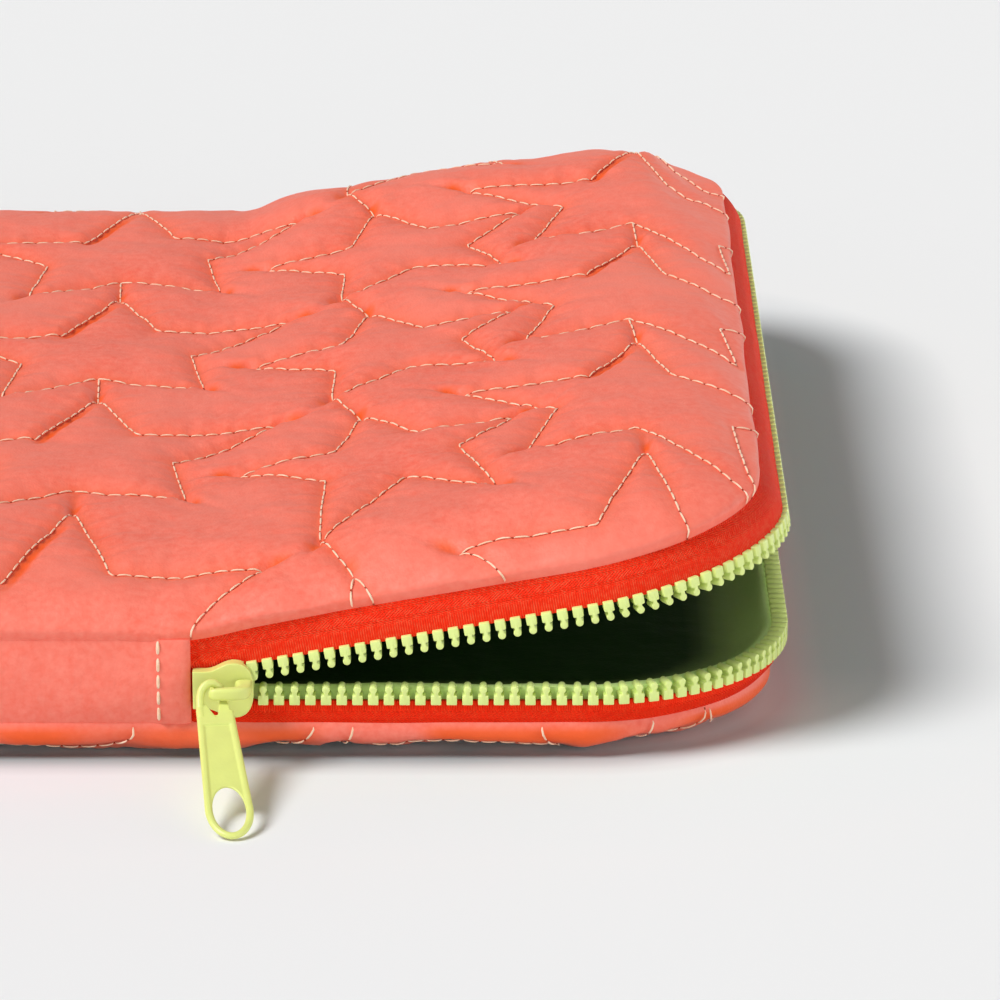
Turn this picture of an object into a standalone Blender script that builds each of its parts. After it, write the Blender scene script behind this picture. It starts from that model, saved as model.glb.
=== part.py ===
"""Quilted tablet sleeve: a flat padded case with a moulded-tooth zip round its mouth.

Units are metres and +Z is up. The origin is the middle of the flat base, +X points at the
mouth, and -Y is the side where the slider waits while the mouth is open. The part stands
with its flap lifted by OPEN_ANGLE about the line where the band ends and the zip begins.
"""

import math

import bmesh
import bpy
from mathutils import Vector

# Whole sleeve
SLEEVE_LENGTH = 0.290
SLEEVE_WIDTH = 0.225
CORNER_RADIUS = 0.032
MOUTH_DEPTH = 0.090
OPEN_ANGLE = math.radians(10.0)

# Heights of the sewn walls and of the padding that swells past them
GUSSET_HEIGHT = 0.0126
TOP_PUFF = 0.0060
BOTTOM_PUFF = 0.0060
TOP_ROLL = 0.024
BOTTOM_ROLL = 0.009

# Thicknesses of the layers, and the clearances between neighbours
SHELL_CLOTH = 0.0005
LINING_CLOTH = 0.0004
WADDING_DEPTH = 0.0054
WADDING_EDGE = 0.0022
LINING_EDGE = 0.0046
FIT_GAP = 0.0003

# Zip tape and teeth
TAPE_THICKNESS = 0.0007
LOWER_TAPE_SHOWING = 0.00265
ZIP_INSET = 0.0012
TOOTH_PITCH = 0.0023
TOOTH_ROOT_REACH = 0.00235
TOOTH_TIP_REACH = 0.0006
TOOTH_SHOULDER = 0.0009
TOOTH_NECK_DROP = 0.0005
TOOTH_ROOT_WIDTH = 0.00145
TOOTH_NECK_WIDTH = 0.00066
TOOTH_HEAD_WIDTH = 0.00098
TOOTH_THICKNESS = 0.0024
BEAD_SET_BACK = 0.0008
STOP_LENGTH = 0.0014
STOP_GAP = 0.0009
REAR_ROW_MARGIN = 0.0052

# Slider: a body of two plates round a post, and its bridge
SLIDER_LENGTH = 0.0089
SLIDER_LIP = 0.0004
SLIDER_SHOULDER_HALF = 0.0042
SLIDER_TAIL_LENGTH = 0.0020
SLIDER_SHOULDER_AT = 0.0059
SLIDER_PLATE = 0.0011
SLIDER_SLOT = 0.0013
SLIDER_NOSE_POWER = 2.5
POST_LENGTH = 0.0024
POST_HALF = 0.0009
BRIDGE_HEIGHT = 0.0013
BRIDGE_BAR = 0.0013
BRIDGE_OPENING = 0.0026
BRIDGE_START = 0.0025
BRIDGE_LEG = 0.0012
BRIDGE_ROOT = 0.0020
BRIDGE_LENGTH = 0.0058

# Pull: a tapered plate with a grip hole, hung by a loop round the bridge's free leg
PULL_THICKNESS = 0.0013
PULL_TOP_WIDTH = 0.0050
PULL_GRIP_WIDTH = 0.0066
PULL_LENGTH = 0.0276
PULL_LEFT_EAR = 0.0020
PULL_RIGHT_EAR = 0.0004
PULL_LEFT_EAR_WIDTH = 0.0012
PULL_RIGHT_EAR_WIDTH = 0.0016
PULL_HOLE_LENGTH = 0.0108
PULL_HOLE_WIDTH = 0.0045
PULL_TIP_WALL = 0.0011
PULL_RIM = 0.0011
PULL_PANEL_DEPTH = 0.0003
PULL_PANEL_START = 0.0022
PULL_SLOPE = math.radians(20.0)
PULL_YAW = math.radians(8.5)
PULL_LOOP_RADIUS = 0.00055

# Shared steps for curves, and one overrun for every cut
CORNER_STEPS = 5
OUTLINE_STEPS = 10
OVERRUN = 0.002

# How far in and how far up each ring of a padded panel lies, as shares of its roll and puff
PANEL_RING_shares = ((0.0, 0.0), (0.03, 0.36), (0.14, 0.68), (0.42, 0.91), (1.0, 1.0))

# How the pull's loop bends round the bridge, as shares of its clearance and of its heights
LOOP_RISE_share = 0.62
LOOP_BESIDE_share = 0.25
LOOP_OVER_share = 0.33
LOOP_HALF_share = 0.5

# Rounding of the bridge's edges, and the reach within which a curve's points are welded
BRIDGE_ROUND_share = 0.2
WELD_share = 0.001

# Places worked out from the sizes above
HINGE_X = SLEEVE_LENGTH / 2 - MOUTH_DEPTH
LOW_SEAM = BOTTOM_PUFF
HIGH_SEAM = BOTTOM_PUFF + GUSSET_HEIGHT
ZIP_MID = LOW_SEAM + LOWER_TAPE_SHOWING + FIT_GAP + TOOTH_ROOT_REACH
ZIP_Y = -SLEEVE_WIDTH / 2 + ZIP_INSET
SLIDER_TAIL_HALF = TOOTH_ROOT_REACH + FIT_GAP / 2 + SLIDER_LIP
CHANNEL_DEPTH = TOOTH_THICKNESS + 2 * FIT_GAP
SLIDER_FRONT_Y = ZIP_Y - CHANNEL_DEPTH / 2 - SLIDER_PLATE
SLIDER_X = HINGE_X + FIT_GAP / 2
FRONT_RUN = MOUTH_DEPTH - CORNER_RADIUS
CORNER_RUN = math.pi / 2 * CORNER_RADIUS
END_RUN = SLEEVE_WIDTH - 2 * CORNER_RADIUS
MOUTH_RUN = 2 * FRONT_RUN + 2 * CORNER_RUN + END_RUN
RIM_RUN = 2 * (SLEEVE_LENGTH - 2 * CORNER_RADIUS) + 2 * END_RUN + 4 * CORNER_RUN
FIRST_TOOTH = SLIDER_LENGTH + TOOTH_ROOT_WIDTH

# Colours
CORAL = (0.91, 0.145, 0.095, 1.0)
ORANGE_RED = (0.84, 0.03, 0.012, 1.0)
LIME = (0.74, 0.84, 0.22, 1.0)
LINING_GREEN = (0.36, 0.62, 0.13, 1.0)
WADDING_WHITE = (0.85, 0.85, 0.82, 1.0)


def clear_scene():
    for item in list(bpy.data.objects):
        bpy.data.objects.remove(item, do_unlink=True)


def new_collection(name):
    collection = bpy.data.collections.new(name)
    bpy.context.scene.collection.children.link(collection)
    return collection


def new_material(name, colour, roughness):
    material = bpy.data.materials.new(name)
    material.use_nodes = True
    shader = material.node_tree.nodes["Principled BSDF"]
    shader.inputs["Base Color"].default_value = colour
    shader.inputs["Roughness"].default_value = roughness
    shader.inputs["Metallic"].default_value = 0.0
    return material


def mesh_object(name, form, collection):
    """An object that holds the bmesh, which is freed."""
    mesh = bpy.data.meshes.new(name)
    form.to_mesh(mesh)
    form.free()
    item = bpy.data.objects.new(name, mesh)
    collection.objects.link(item)
    return item


def finish(item, colour, roughness, smooth=False):
    """Gives a part its own material and, where it is round, smooth shading."""
    item.data.materials.append(new_material(item.name, colour, roughness))
    if smooth:
        item.data.shade_smooth()
        item.data.set_sharp_from_angle(angle=math.radians(35.0))
    return item


def make_cutter(item):
    item.display_type = "WIRE"
    item.hide_render = True
    return item


def add_boolean(item, tool, operation):
    modifier = item.modifiers.new(operation.lower() + "_" + tool.name, "BOOLEAN")
    modifier.operation = operation
    modifier.object = tool
    modifier.solver = "EXACT"


def add_thickness(item, thickness):
    """Solidify towards the inside of the sleeve."""
    modifier = item.modifiers.new("thickness", "SOLIDIFY")
    modifier.thickness = thickness
    modifier.offset = -1.0
    modifier.use_even_offset = True


def rim_place(along, inset):
    """The point and heading at a length along the rim, from the front end of the zip."""
    forward_x = SLEEVE_LENGTH - 2 * CORNER_RADIUS
    left = (along + forward_x - FRONT_RUN) % RIM_RUN
    heading = 0.0
    place = Vector((-SLEEVE_LENGTH / 2 + CORNER_RADIUS, -SLEEVE_WIDTH / 2))
    for straight in (forward_x, END_RUN, forward_x, END_RUN):
        forward = Vector((math.cos(heading), math.sin(heading)))
        inward = Vector((-forward.y, forward.x))
        if left <= straight:
            return place + forward * left + inward * inset, heading
        left -= straight
        centre = place + forward * straight + inward * CORNER_RADIUS
        if left < CORNER_RUN:
            heading += left / CORNER_RADIUS
            outward = Vector((math.sin(heading), -math.cos(heading)))
            return centre + outward * (CORNER_RADIUS - inset), heading
        left -= CORNER_RUN
        heading += math.pi / 2
        place = centre + forward * CORNER_RADIUS
    return place, heading


def rim_stations(start, end):
    """Lengths along the rim between two ends, with a station at each step of a corner."""
    forward_x = SLEEVE_LENGTH - 2 * CORNER_RADIUS
    corner_starts = []
    reached = FRONT_RUN
    for straight in (END_RUN, forward_x, END_RUN, forward_x):
        corner_starts.append(reached)
        reached += CORNER_RUN + straight
    stations = [start]
    for corner in corner_starts:
        for step in range(CORNER_STEPS + 1):
            along = corner + CORNER_RUN * step / CORNER_STEPS
            if start + FIT_GAP < along < end - FIT_GAP:
                stations.append(along)
    stations.append(end)
    return stations


def ring_points(inset, height):
    """The sleeve's rounded outline, drawn in by the inset, counter-clockwise from above."""
    points = []
    for corner in range(4):
        turn = corner * math.pi / 2
        side_x = 1 if corner in (0, 3) else -1
        side_y = 1 if corner in (0, 1) else -1
        centre_x = side_x * (SLEEVE_LENGTH / 2 - CORNER_RADIUS)
        centre_y = side_y * (SLEEVE_WIDTH / 2 - CORNER_RADIUS)
        for step in range(CORNER_STEPS + 1):
            angle = turn + math.pi / 2 * step / CORNER_STEPS
            x = centre_x + (CORNER_RADIUS - inset) * math.cos(angle)
            y = centre_y + (CORNER_RADIUS - inset) * math.sin(angle)
            points.append(Vector((x, y, height)))
    return points


def lofted(name, rings, collection, close_first):
    """A loft through rings with a cap on the last, and on the first where it is closed."""
    form = bmesh.new()
    rows = []
    for ring in rings:
        rows.append([form.verts.new(point) for point in ring])
    count = len(rows[0])
    for lower, upper in zip(rows, rows[1:]):
        for index in range(count):
            after = (index + 1) % count
            form.faces.new((lower[index], lower[after], upper[after], upper[index]))
    form.faces.new(rows[-1])
    if close_first:
        form.faces.new(tuple(reversed(rows[0])))
    if rings[-1][0].z < rings[0][0].z:
        bmesh.ops.reverse_faces(form, faces=form.faces)
    return mesh_object(name, form, collection)


def panel_rings(seam, rise, roll, inset):
    """Rings of a padded panel: the seam, then in and up, or down, to its crown."""
    rings = []
    for inward_share, rise_share in PANEL_RING_shares:
        rings.append(ring_points(inset + roll * inward_share, seam + rise * rise_share))
    return rings


def panel_shell(name, seam, rise, roll, collection):
    """One outer cover of cloth."""
    item = lofted(name, panel_rings(seam, rise, roll, 0.0), collection, False)
    add_thickness(item, SHELL_CLOTH)
    return finish(item, CORAL, 0.62, True)


def panel_wadding(name, seam, rise, roll, collection):
    """The padding under a cover, flat on the side that the lining lies on."""
    outward = 1 if rise > 0 else -1
    skin = outward * (SHELL_CLOTH + FIT_GAP)
    crown = seam + rise - skin
    flat = crown - outward * WADDING_DEPTH
    rings = [ring_points(WADDING_EDGE, flat)]
    for inward_share, rise_share in PANEL_RING_shares[1:]:
        height = seam + rise * rise_share - skin
        inset = WADDING_EDGE + (roll - WADDING_EDGE) * inward_share
        if outward * (height - flat) > FIT_GAP:
            rings.append(ring_points(inset, height))
    item = lofted(name, rings, collection, True)
    return finish(item, WADDING_WHITE, 0.9, True)


def panel_lining(name, seam, rise, collection):
    """A flat sheet of lining on the inner side of the padding."""
    outward = 1 if rise > 0 else -1
    skin = SHELL_CLOTH + FIT_GAP + WADDING_DEPTH + FIT_GAP
    near = seam + rise - outward * skin
    far = near - outward * LINING_CLOTH
    rings = [ring_points(LINING_EDGE, far), ring_points(LINING_EDGE, near)]
    item = lofted(name, rings, collection, True)
    return finish(item, LINING_GREEN, 0.7)


def ribbon(name, start, end, inset, low, high, thickness, collection):
    """A standing strip of cloth along the rim."""
    form = bmesh.new()
    rows = []
    for along in rim_stations(start, end):
        place, _ = rim_place(along, inset)
        bottom = form.verts.new((place.x, place.y, low))
        top = form.verts.new((place.x, place.y, high))
        rows.append((bottom, top))
    for before, after in zip(rows, rows[1:]):
        form.faces.new((before[0], after[0], after[1], before[1]))
    item = mesh_object(name, form, collection)
    add_thickness(item, thickness)
    return item


def tooth_outline():
    """Half of one tooth as (across, up from the zip's middle), root first."""
    return (
        (TOOTH_ROOT_WIDTH / 2, -TOOTH_ROOT_REACH),
        (TOOTH_ROOT_WIDTH / 2, -TOOTH_SHOULDER),
        (TOOTH_NECK_WIDTH / 2, -TOOTH_NECK_DROP),
        (TOOTH_HEAD_WIDTH / 2, TOOTH_TIP_REACH),
    )


def add_block(form, along, outline, upside_down):
    """Adds one moulded block, its outline standing in the rim's plane, to the mesh."""
    place, heading = rim_place(along, ZIP_INSET - TOOTH_THICKNESS / 2)
    forward = Vector((math.cos(heading), math.sin(heading), 0.0))
    inward = Vector((-forward.y, forward.x, 0.0))
    flip = -1 if upside_down else 1
    corners = list(outline) + [(-across, up) for across, up in reversed(outline)]
    base = Vector((place.x, place.y, ZIP_MID))
    ring = []
    for across, up in corners:
        ring.append(form.verts.new(base + forward * across + Vector((0.0, 0.0, flip * up))))
    face = form.faces.new(ring)
    grown = bmesh.ops.extrude_face_region(form, geom=[face])
    moved = [part for part in grown["geom"] if isinstance(part, bmesh.types.BMVert)]
    bmesh.ops.translate(form, verts=moved, vec=inward * TOOTH_THICKNESS)


def blocks_object(name, form, collection):
    bmesh.ops.recalc_face_normals(form, faces=form.faces)
    return mesh_object(name, form, collection)


def tooth_places(upper):
    """Lengths along the rim of one row's teeth; the upper row lies half a pitch on."""
    first = FIRST_TOOTH + (TOOTH_PITCH / 2 if upper else 0.0)
    count = int((MOUTH_RUN - REAR_ROW_MARGIN - TOOTH_PITCH / 2 - first) / TOOTH_PITCH)
    return [first + TOOTH_PITCH * index for index in range(count + 1)]


def tooth_rings(form, along, upper):
    """One tooth's outline at its front, at the bead's front and at its back."""
    half = list(tooth_outline())
    corners = half + [(-across, up) for across, up in reversed(half)]
    flip = -1 if upper else 1
    rings = []
    for depth in (0.0, BEAD_SET_BACK, TOOTH_THICKNESS):
        place, heading = rim_place(along, ZIP_INSET - TOOTH_THICKNESS / 2 + depth)
        ring = []
        for across, up in corners:
            x = place.x + across * math.cos(heading)
            y = place.y + across * math.sin(heading)
            ring.append(form.verts.new((x, y, ZIP_MID + flip * up)))
        rings.append(ring)
    return rings


def tooth_row(name, start, end, upper, parts):
    """A stretch of one row: teeth moulded round the beaded edge of the tape."""
    form = bmesh.new()
    teeth = []
    for along in tooth_places(upper):
        if start < along < end:
            teeth.append(tooth_rings(form, along, upper))
    count = len(teeth[0][0])
    for rings in teeth:
        form.faces.new(rings[0])
        form.faces.new(rings[-1])
        for near, far in zip(rings, rings[1:]):
            for index in range(count):
                after = (index + 1) % count
                beside_bead = near is not rings[0] and index in (0, count - 2)
                if not beside_bead:
                    form.faces.new((near[index], near[after], far[after], far[index]))
    for rings, following in zip(teeth, teeth[1:]):
        section = (rings[1][0], rings[1][1], rings[2][1], rings[2][0])
        facing = (following[1][-1], following[1][-2], following[2][-2], following[2][-1])
        for index in range(len(section)):
            after = (index + 1) % len(section)
            form.faces.new((section[index], section[after], facing[after], facing[index]))
    first, last = teeth[0], teeth[-1]
    form.faces.new((first[1][-1], first[1][-2], first[2][-2], first[2][-1]))
    form.faces.new((last[1][0], last[1][1], last[2][1], last[2][0]))
    return finish(blocks_object(name, form, parts), LIME, 0.4)


def make_teeth(parts):
    """Both rows, each in the straight run that the slider passes over and the rest."""
    flap = []
    for upper, word in ((False, "lower"), (True, "upper")):
        split = tooth_split(upper)
        front = tooth_row(word + "_front_teeth", 0.0, split, upper, parts)
        end = tooth_row(word + "_end_teeth", split, MOUTH_RUN, upper, parts)
        if upper:
            flap = [front, end]
    return flap


def tooth_split(upper):
    """Where a row's front run ends: halfway between two teeth, by the corner."""
    places = [along for along in tooth_places(upper) if along < FRONT_RUN]
    return places[-1] + TOOTH_PITCH / 2


def make_tapes(parts, closed_side):
    """The strips of zip tape between the seams and the teeth."""
    inset = ZIP_INSET - TAPE_THICKNESS / 2
    gap = FIT_GAP / 2
    reach = TOOTH_ROOT_REACH + FIT_GAP
    for name, low, high in (
        ("lower_tape", LOW_SEAM + FIT_GAP, ZIP_MID - reach),
        ("upper_tape", ZIP_MID + reach, HIGH_SEAM - FIT_GAP),
    ):
        tape = ribbon(name, gap, MOUTH_RUN - gap, inset, low, high, TAPE_THICKNESS, parts)
        finish(tape, ORANGE_RED, 0.75)
    add_boolean(tape, closed_side, "DIFFERENCE")
    return tape


def stop_outline(low, high):
    return ((STOP_LENGTH / 2, low), (STOP_LENGTH / 2, high))


def make_stops(collection):
    """The bottom stop, across both rows, and one top stop at the far end of each row."""
    first = STOP_GAP + STOP_LENGTH / 2
    last = MOUTH_RUN - first - STOP_GAP
    form = bmesh.new()
    reach = TOOTH_ROOT_REACH
    add_block(form, first, stop_outline(-reach, reach), False)
    finish(blocks_object("bottom_stop", form, collection), LIME, 0.4)
    form = bmesh.new()
    add_block(form, last, stop_outline(-reach, -FIT_GAP), False)
    finish(blocks_object("lower_top_stop", form, collection), LIME, 0.4)
    form = bmesh.new()
    add_block(form, last, stop_outline(-reach, -FIT_GAP), True)
    return finish(blocks_object("upper_top_stop", form, collection), LIME, 0.4)


def half_space(name, towards_mouth, collection):
    """A block over the mouth side, or the closed side, of the bend line."""
    bpy.ops.mesh.primitive_cube_add(size=1.0)
    block = bpy.context.active_object
    block.name = name
    reach = SLEEVE_LENGTH + 2 * OVERRUN
    side = 1 if towards_mouth else -1
    block.dimensions = (reach, SLEEVE_WIDTH + 2 * OVERRUN, SLEEVE_LENGTH)
    near = HINGE_X - side * FIT_GAP / 2
    block.location = (near + side * reach / 2, 0.0, ZIP_MID)
    for owner in list(block.users_collection):
        owner.objects.unlink(block)
    collection.objects.link(block)
    return make_cutter(block)


def make_panels(parts, mouth_side, closed_side):
    """The base panel, and the top panel in its closed half and its flap."""
    flap = []
    panel_shell("bottom_shell", LOW_SEAM, -BOTTOM_PUFF, BOTTOM_ROLL, parts)
    panel_wadding("bottom_wadding", LOW_SEAM, -BOTTOM_PUFF, BOTTOM_ROLL, parts)
    panel_lining("bottom_lining", LOW_SEAM, -BOTTOM_PUFF, parts)
    for ending, cutter in (("closed", mouth_side), ("flap", closed_side)):
        shell = panel_shell("top_shell_" + ending, HIGH_SEAM, TOP_PUFF, TOP_ROLL, parts)
        wadding = panel_wadding("top_wadding_" + ending, HIGH_SEAM, TOP_PUFF, TOP_ROLL, parts)
        lining = panel_lining("top_lining_" + ending, HIGH_SEAM, TOP_PUFF, parts)
        for item in (shell, wadding, lining):
            add_boolean(item, cutter, "DIFFERENCE")
            if ending == "flap":
                flap.append(item)
    return flap


def make_walls(parts):
    """The side band round the closed sides, and its lining."""
    low = LOW_SEAM + FIT_GAP
    high = HIGH_SEAM - FIT_GAP
    start = MOUTH_RUN + FIT_GAP / 2
    end = RIM_RUN - FIT_GAP / 2
    band = ribbon("side_band", start, end, 0.0, low, high, SHELL_CLOTH, parts)
    finish(band, CORAL, 0.62)
    skin = SHELL_CLOTH + FIT_GAP
    lining = ribbon("side_band_lining", start, end, skin, low, high, LINING_CLOTH, parts)
    finish(lining, LINING_GREEN, 0.7)


def flat_solid(name, outlines, thickness, collection):
    """A solid of even thickness from outlines in its own XY plane; inner ones are holes."""
    curve = bpy.data.curves.new(name + "_curve", "CURVE")
    curve.dimensions = "2D"
    curve.fill_mode = "BOTH"
    curve.extrude = thickness / 2
    for outline in outlines:
        spline = curve.splines.new("POLY")
        spline.points.add(len(outline) - 1)
        for point, (x, y) in zip(spline.points, outline):
            point.co = (x, y, 0.0, 1.0)
        spline.use_cyclic_u = True
    return curve_to_mesh(name, curve, collection)


def curve_to_mesh(name, curve, collection):
    """Turns a curve into a welded mesh object of that name."""
    holder = bpy.data.objects.new(name + "_holder", curve)
    collection.objects.link(holder)
    bpy.context.view_layer.update()
    depsgraph = bpy.context.evaluated_depsgraph_get()
    mesh = bpy.data.meshes.new_from_object(holder.evaluated_get(depsgraph))
    mesh.name = name
    form = bmesh.new()
    form.from_mesh(mesh)
    bmesh.ops.remove_doubles(form, verts=form.verts, dist=OVERRUN * WELD_share)
    bmesh.ops.recalc_face_normals(form, faces=form.faces)
    form.to_mesh(mesh)
    form.free()
    item = bpy.data.objects.new(name, mesh)
    item.matrix_world = holder.matrix_world
    collection.objects.link(item)
    bpy.data.objects.remove(holder, do_unlink=True)
    return item


def stand_up(item, middle):
    """Turns a solid drawn in XY so that its drawing faces -Y, with its middle at a point."""
    item.rotation_euler = (math.pi / 2, 0.0, 0.0)
    item.location = middle


def slider_half_height(along):
    """Half the slider's height at a length from its tail."""
    if along <= SLIDER_TAIL_LENGTH:
        return SLIDER_TAIL_HALF
    if along <= SLIDER_SHOULDER_AT:
        way = (along - SLIDER_TAIL_LENGTH) / (SLIDER_SHOULDER_AT - SLIDER_TAIL_LENGTH)
        ease = (1 - math.cos(math.pi * way)) / 2
        return SLIDER_TAIL_HALF + (SLIDER_SHOULDER_HALF - SLIDER_TAIL_HALF) * ease
    way = min(1.0, (along - SLIDER_SHOULDER_AT) / (SLIDER_LENGTH - SLIDER_SHOULDER_AT))
    return SLIDER_SHOULDER_HALF * (1 - way ** SLIDER_NOSE_POWER) ** (1 / SLIDER_NOSE_POWER)


def mirrored_outline(half):
    """A closed outline from its upper half, which runs from the tail to the nose."""
    return half + [(x, -y) for x, y in reversed(half) if y > 0]


def slider_outline():
    half = [(0.0, SLIDER_TAIL_HALF)]
    for step in range(OUTLINE_STEPS + 1):
        way = step / OUTLINE_STEPS
        along = SLIDER_TAIL_LENGTH + (SLIDER_SHOULDER_AT - SLIDER_TAIL_LENGTH) * way
        half.append((along, slider_half_height(along)))
    for step in range(1, OUTLINE_STEPS):
        way = math.sin(math.pi / 2 * step / OUTLINE_STEPS)
        along = SLIDER_SHOULDER_AT + (SLIDER_LENGTH - SLIDER_SHOULDER_AT) * way
        half.append((along, slider_half_height(along)))
    return mirrored_outline(half)


def channel_outline():
    """The way that the teeth take between the plates, open at the tail and at the nose."""
    half = [(-OVERRUN, SLIDER_TAIL_HALF - SLIDER_LIP)]
    for step in range(OUTLINE_STEPS + 1):
        way = step / OUTLINE_STEPS
        along = SLIDER_TAIL_LENGTH + (SLIDER_SHOULDER_AT - SLIDER_TAIL_LENGTH) * way
        half.append((along, slider_half_height(along) - SLIDER_LIP))
    half.append((SLIDER_LENGTH + OVERRUN, SLIDER_SHOULDER_HALF - SLIDER_LIP))
    return mirrored_outline(half)


def slot_outline():
    """The slit in the lips through which the tapes leave."""
    reach = SLIDER_SHOULDER_HALF + OVERRUN
    return mirrored_outline([(-OVERRUN, reach), (SLIDER_LENGTH + OVERRUN, reach)])


def post_outline():
    """The wedge that parts the rows, pointed towards the tail."""
    middle = SLIDER_LENGTH - FIT_GAP - POST_LENGTH / 2
    points = []
    for step in range(OUTLINE_STEPS):
        angle = 2 * math.pi * step / OUTLINE_STEPS
        points.append((middle + POST_LENGTH / 2 * math.cos(angle), POST_HALF * math.sin(angle)))
    return points


def make_slider(parts, cutters):
    """The slider's body, and the bridge that its pull hangs on."""
    depth = CHANNEL_DEPTH + 2 * SLIDER_PLATE
    middle = (SLIDER_X, ZIP_Y, ZIP_MID)
    body = flat_solid("slider_body", [slider_outline()], depth, parts)
    channel = flat_solid("slider_channel", [channel_outline()], CHANNEL_DEPTH, cutters)
    slot = flat_solid("slider_slot", [slot_outline()], SLIDER_SLOT, cutters)
    post = flat_solid("slider_post", [post_outline()], CHANNEL_DEPTH + SLIDER_PLATE, cutters)
    for item in (body, channel, slot, post):
        stand_up(item, middle)
    for tool, operation in ((channel, "DIFFERENCE"), (slot, "DIFFERENCE"), (post, "UNION")):
        make_cutter(tool)
        add_boolean(body, tool, operation)
    finish(body, LIME, 0.35, True)
    bridge = flat_solid("slider_bridge", [bridge_outline()], BRIDGE_HEIGHT, parts)
    bridge.location = (SLIDER_X + BRIDGE_START, SLIDER_FRONT_Y - FIT_GAP, ZIP_MID)
    bevel = bridge.modifiers.new("round_edges", "BEVEL")
    bevel.width = BRIDGE_HEIGHT * BRIDGE_ROUND_share
    bevel.segments = 2
    finish(bridge, LIME, 0.35, True)


def bridge_outline():
    """The bridge from above: a thick root by the nose, a bar, and a leg back to the plate."""
    outer = BRIDGE_OPENING + BRIDGE_BAR
    bend = BRIDGE_LEG + BRIDGE_BAR / 2
    points = [(BRIDGE_LEG, 0.0), (0.0, 0.0)]
    for step in range(OUTLINE_STEPS // 2 + 1):
        angle = math.pi / 2 * step / (OUTLINE_STEPS // 2)
        x = bend * (1 - math.cos(angle))
        y = -outer + bend * (1 - math.sin(angle))
        points.append((x, y))
    points.append((BRIDGE_LENGTH - BRIDGE_ROOT, -outer))
    for step in range(OUTLINE_STEPS // 2 + 1):
        angle = math.pi / 2 * step / (OUTLINE_STEPS // 2)
        x = BRIDGE_LENGTH - BRIDGE_ROOT + BRIDGE_ROOT * math.sin(angle)
        y = -outer + outer * (1 - math.cos(angle))
        points.append((x, y))
    points.append((BRIDGE_LENGTH - BRIDGE_ROOT, 0.0))
    points.append((BRIDGE_LENGTH - BRIDGE_ROOT, -BRIDGE_OPENING))
    points.append((BRIDGE_LEG, -BRIDGE_OPENING))
    return points


def pull_outlines():
    """The pull's plate, from the foot of its eye at zero down to its tip, and its hole."""
    round_start = PULL_LENGTH - PULL_GRIP_WIDTH / 2
    left = -PULL_TOP_WIDTH / 2
    points = [(left, PULL_LEFT_EAR), (left + PULL_LEFT_EAR_WIDTH, PULL_LEFT_EAR), (0.0, 0.0)]
    points.append((-left - PULL_RIGHT_EAR_WIDTH, PULL_RIGHT_EAR))
    points.append((-left, PULL_RIGHT_EAR))
    for step in range(OUTLINE_STEPS + 1):
        angle = math.pi * step / OUTLINE_STEPS
        x = PULL_GRIP_WIDTH / 2 * math.cos(angle)
        y = -round_start - PULL_GRIP_WIDTH / 2 * math.sin(angle)
        points.append((x, y))
    hole = []
    middle = PULL_LENGTH - PULL_TIP_WALL - PULL_HOLE_LENGTH / 2
    for step in range(2 * OUTLINE_STEPS):
        angle = math.pi * step / OUTLINE_STEPS
        x = PULL_HOLE_WIDTH / 2 * math.cos(angle)
        y = -middle + PULL_HOLE_LENGTH / 2 * math.sin(angle)
        hole.append((x, y))
    return [points, hole]


def panel_outline():
    """The sunk panel on the pull's face, between its rims, down into the hole."""
    end = PULL_LENGTH - PULL_TIP_WALL - PULL_HOLE_LENGTH / 2
    top_half = PULL_TOP_WIDTH / 2 - PULL_RIM
    end_half = PULL_HOLE_WIDTH / 2
    return [(-top_half, -PULL_PANEL_START), (-end_half, -end), (end_half, -end),
            (top_half, -PULL_PANEL_START)]


def pull_places():
    """The loop's route, from one ear of the plate round the bridge's leg to the other.

    Each place is (along the zip from the slider's tail, out from its face, up from the
    zip's middle), worked out from the bridge, so that the loop clears its leg and bar.
    """
    clear = PULL_LOOP_RADIUS + FIT_GAP
    leg_left = BRIDGE_START - clear
    leg_right = BRIDGE_START + BRIDGE_LEG + clear
    above = BRIDGE_HEIGHT / 2 + clear
    below = -above
    behind = FIT_GAP + BRIDGE_OPENING / 2
    bar_front = FIT_GAP + BRIDGE_OPENING + BRIDGE_BAR
    foot_out, foot_up = pull_foot()
    left_out = foot_out - PULL_LEFT_EAR / 2 * math.cos(PULL_SLOPE)
    left_up = foot_up + PULL_LEFT_EAR / 2 * math.sin(PULL_SLOPE)
    beside = clear * LOOP_BESIDE_share
    over = clear * LOOP_OVER_share
    half_way = clear * LOOP_HALF_share
    under = below - FIT_GAP * LOOP_OVER_share
    left_ear = pull_middle() - PULL_TOP_WIDTH / 2 + PULL_LEFT_EAR_WIDTH / 2
    right_ear = pull_middle() + PULL_TOP_WIDTH / 2 - PULL_RIGHT_EAR_WIDTH / 2
    return [
        (left_ear, left_out, left_up),
        (leg_left - beside, bar_front - BRIDGE_BAR, below * LOOP_BESIDE_share),
        (leg_left, behind + half_way, above * LOOP_RISE_share),
        ((leg_left + leg_right) / 2, behind - beside, above + over),
        (leg_right, behind - over, above * LOOP_HALF_share),
        (leg_right + over, behind, below * LOOP_RISE_share),
        (right_ear, behind + clear, under),
        (right_ear, bar_front, under),
        (right_ear, foot_out + PULL_LOOP_RADIUS, foot_up - FIT_GAP / 2),
    ]


def pull_middle():
    """Where the plate's middle crosses the foot of the eye, from the slider's tail."""
    return BRIDGE_START + BRIDGE_LEG / 2 + FIT_GAP / 2


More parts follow.
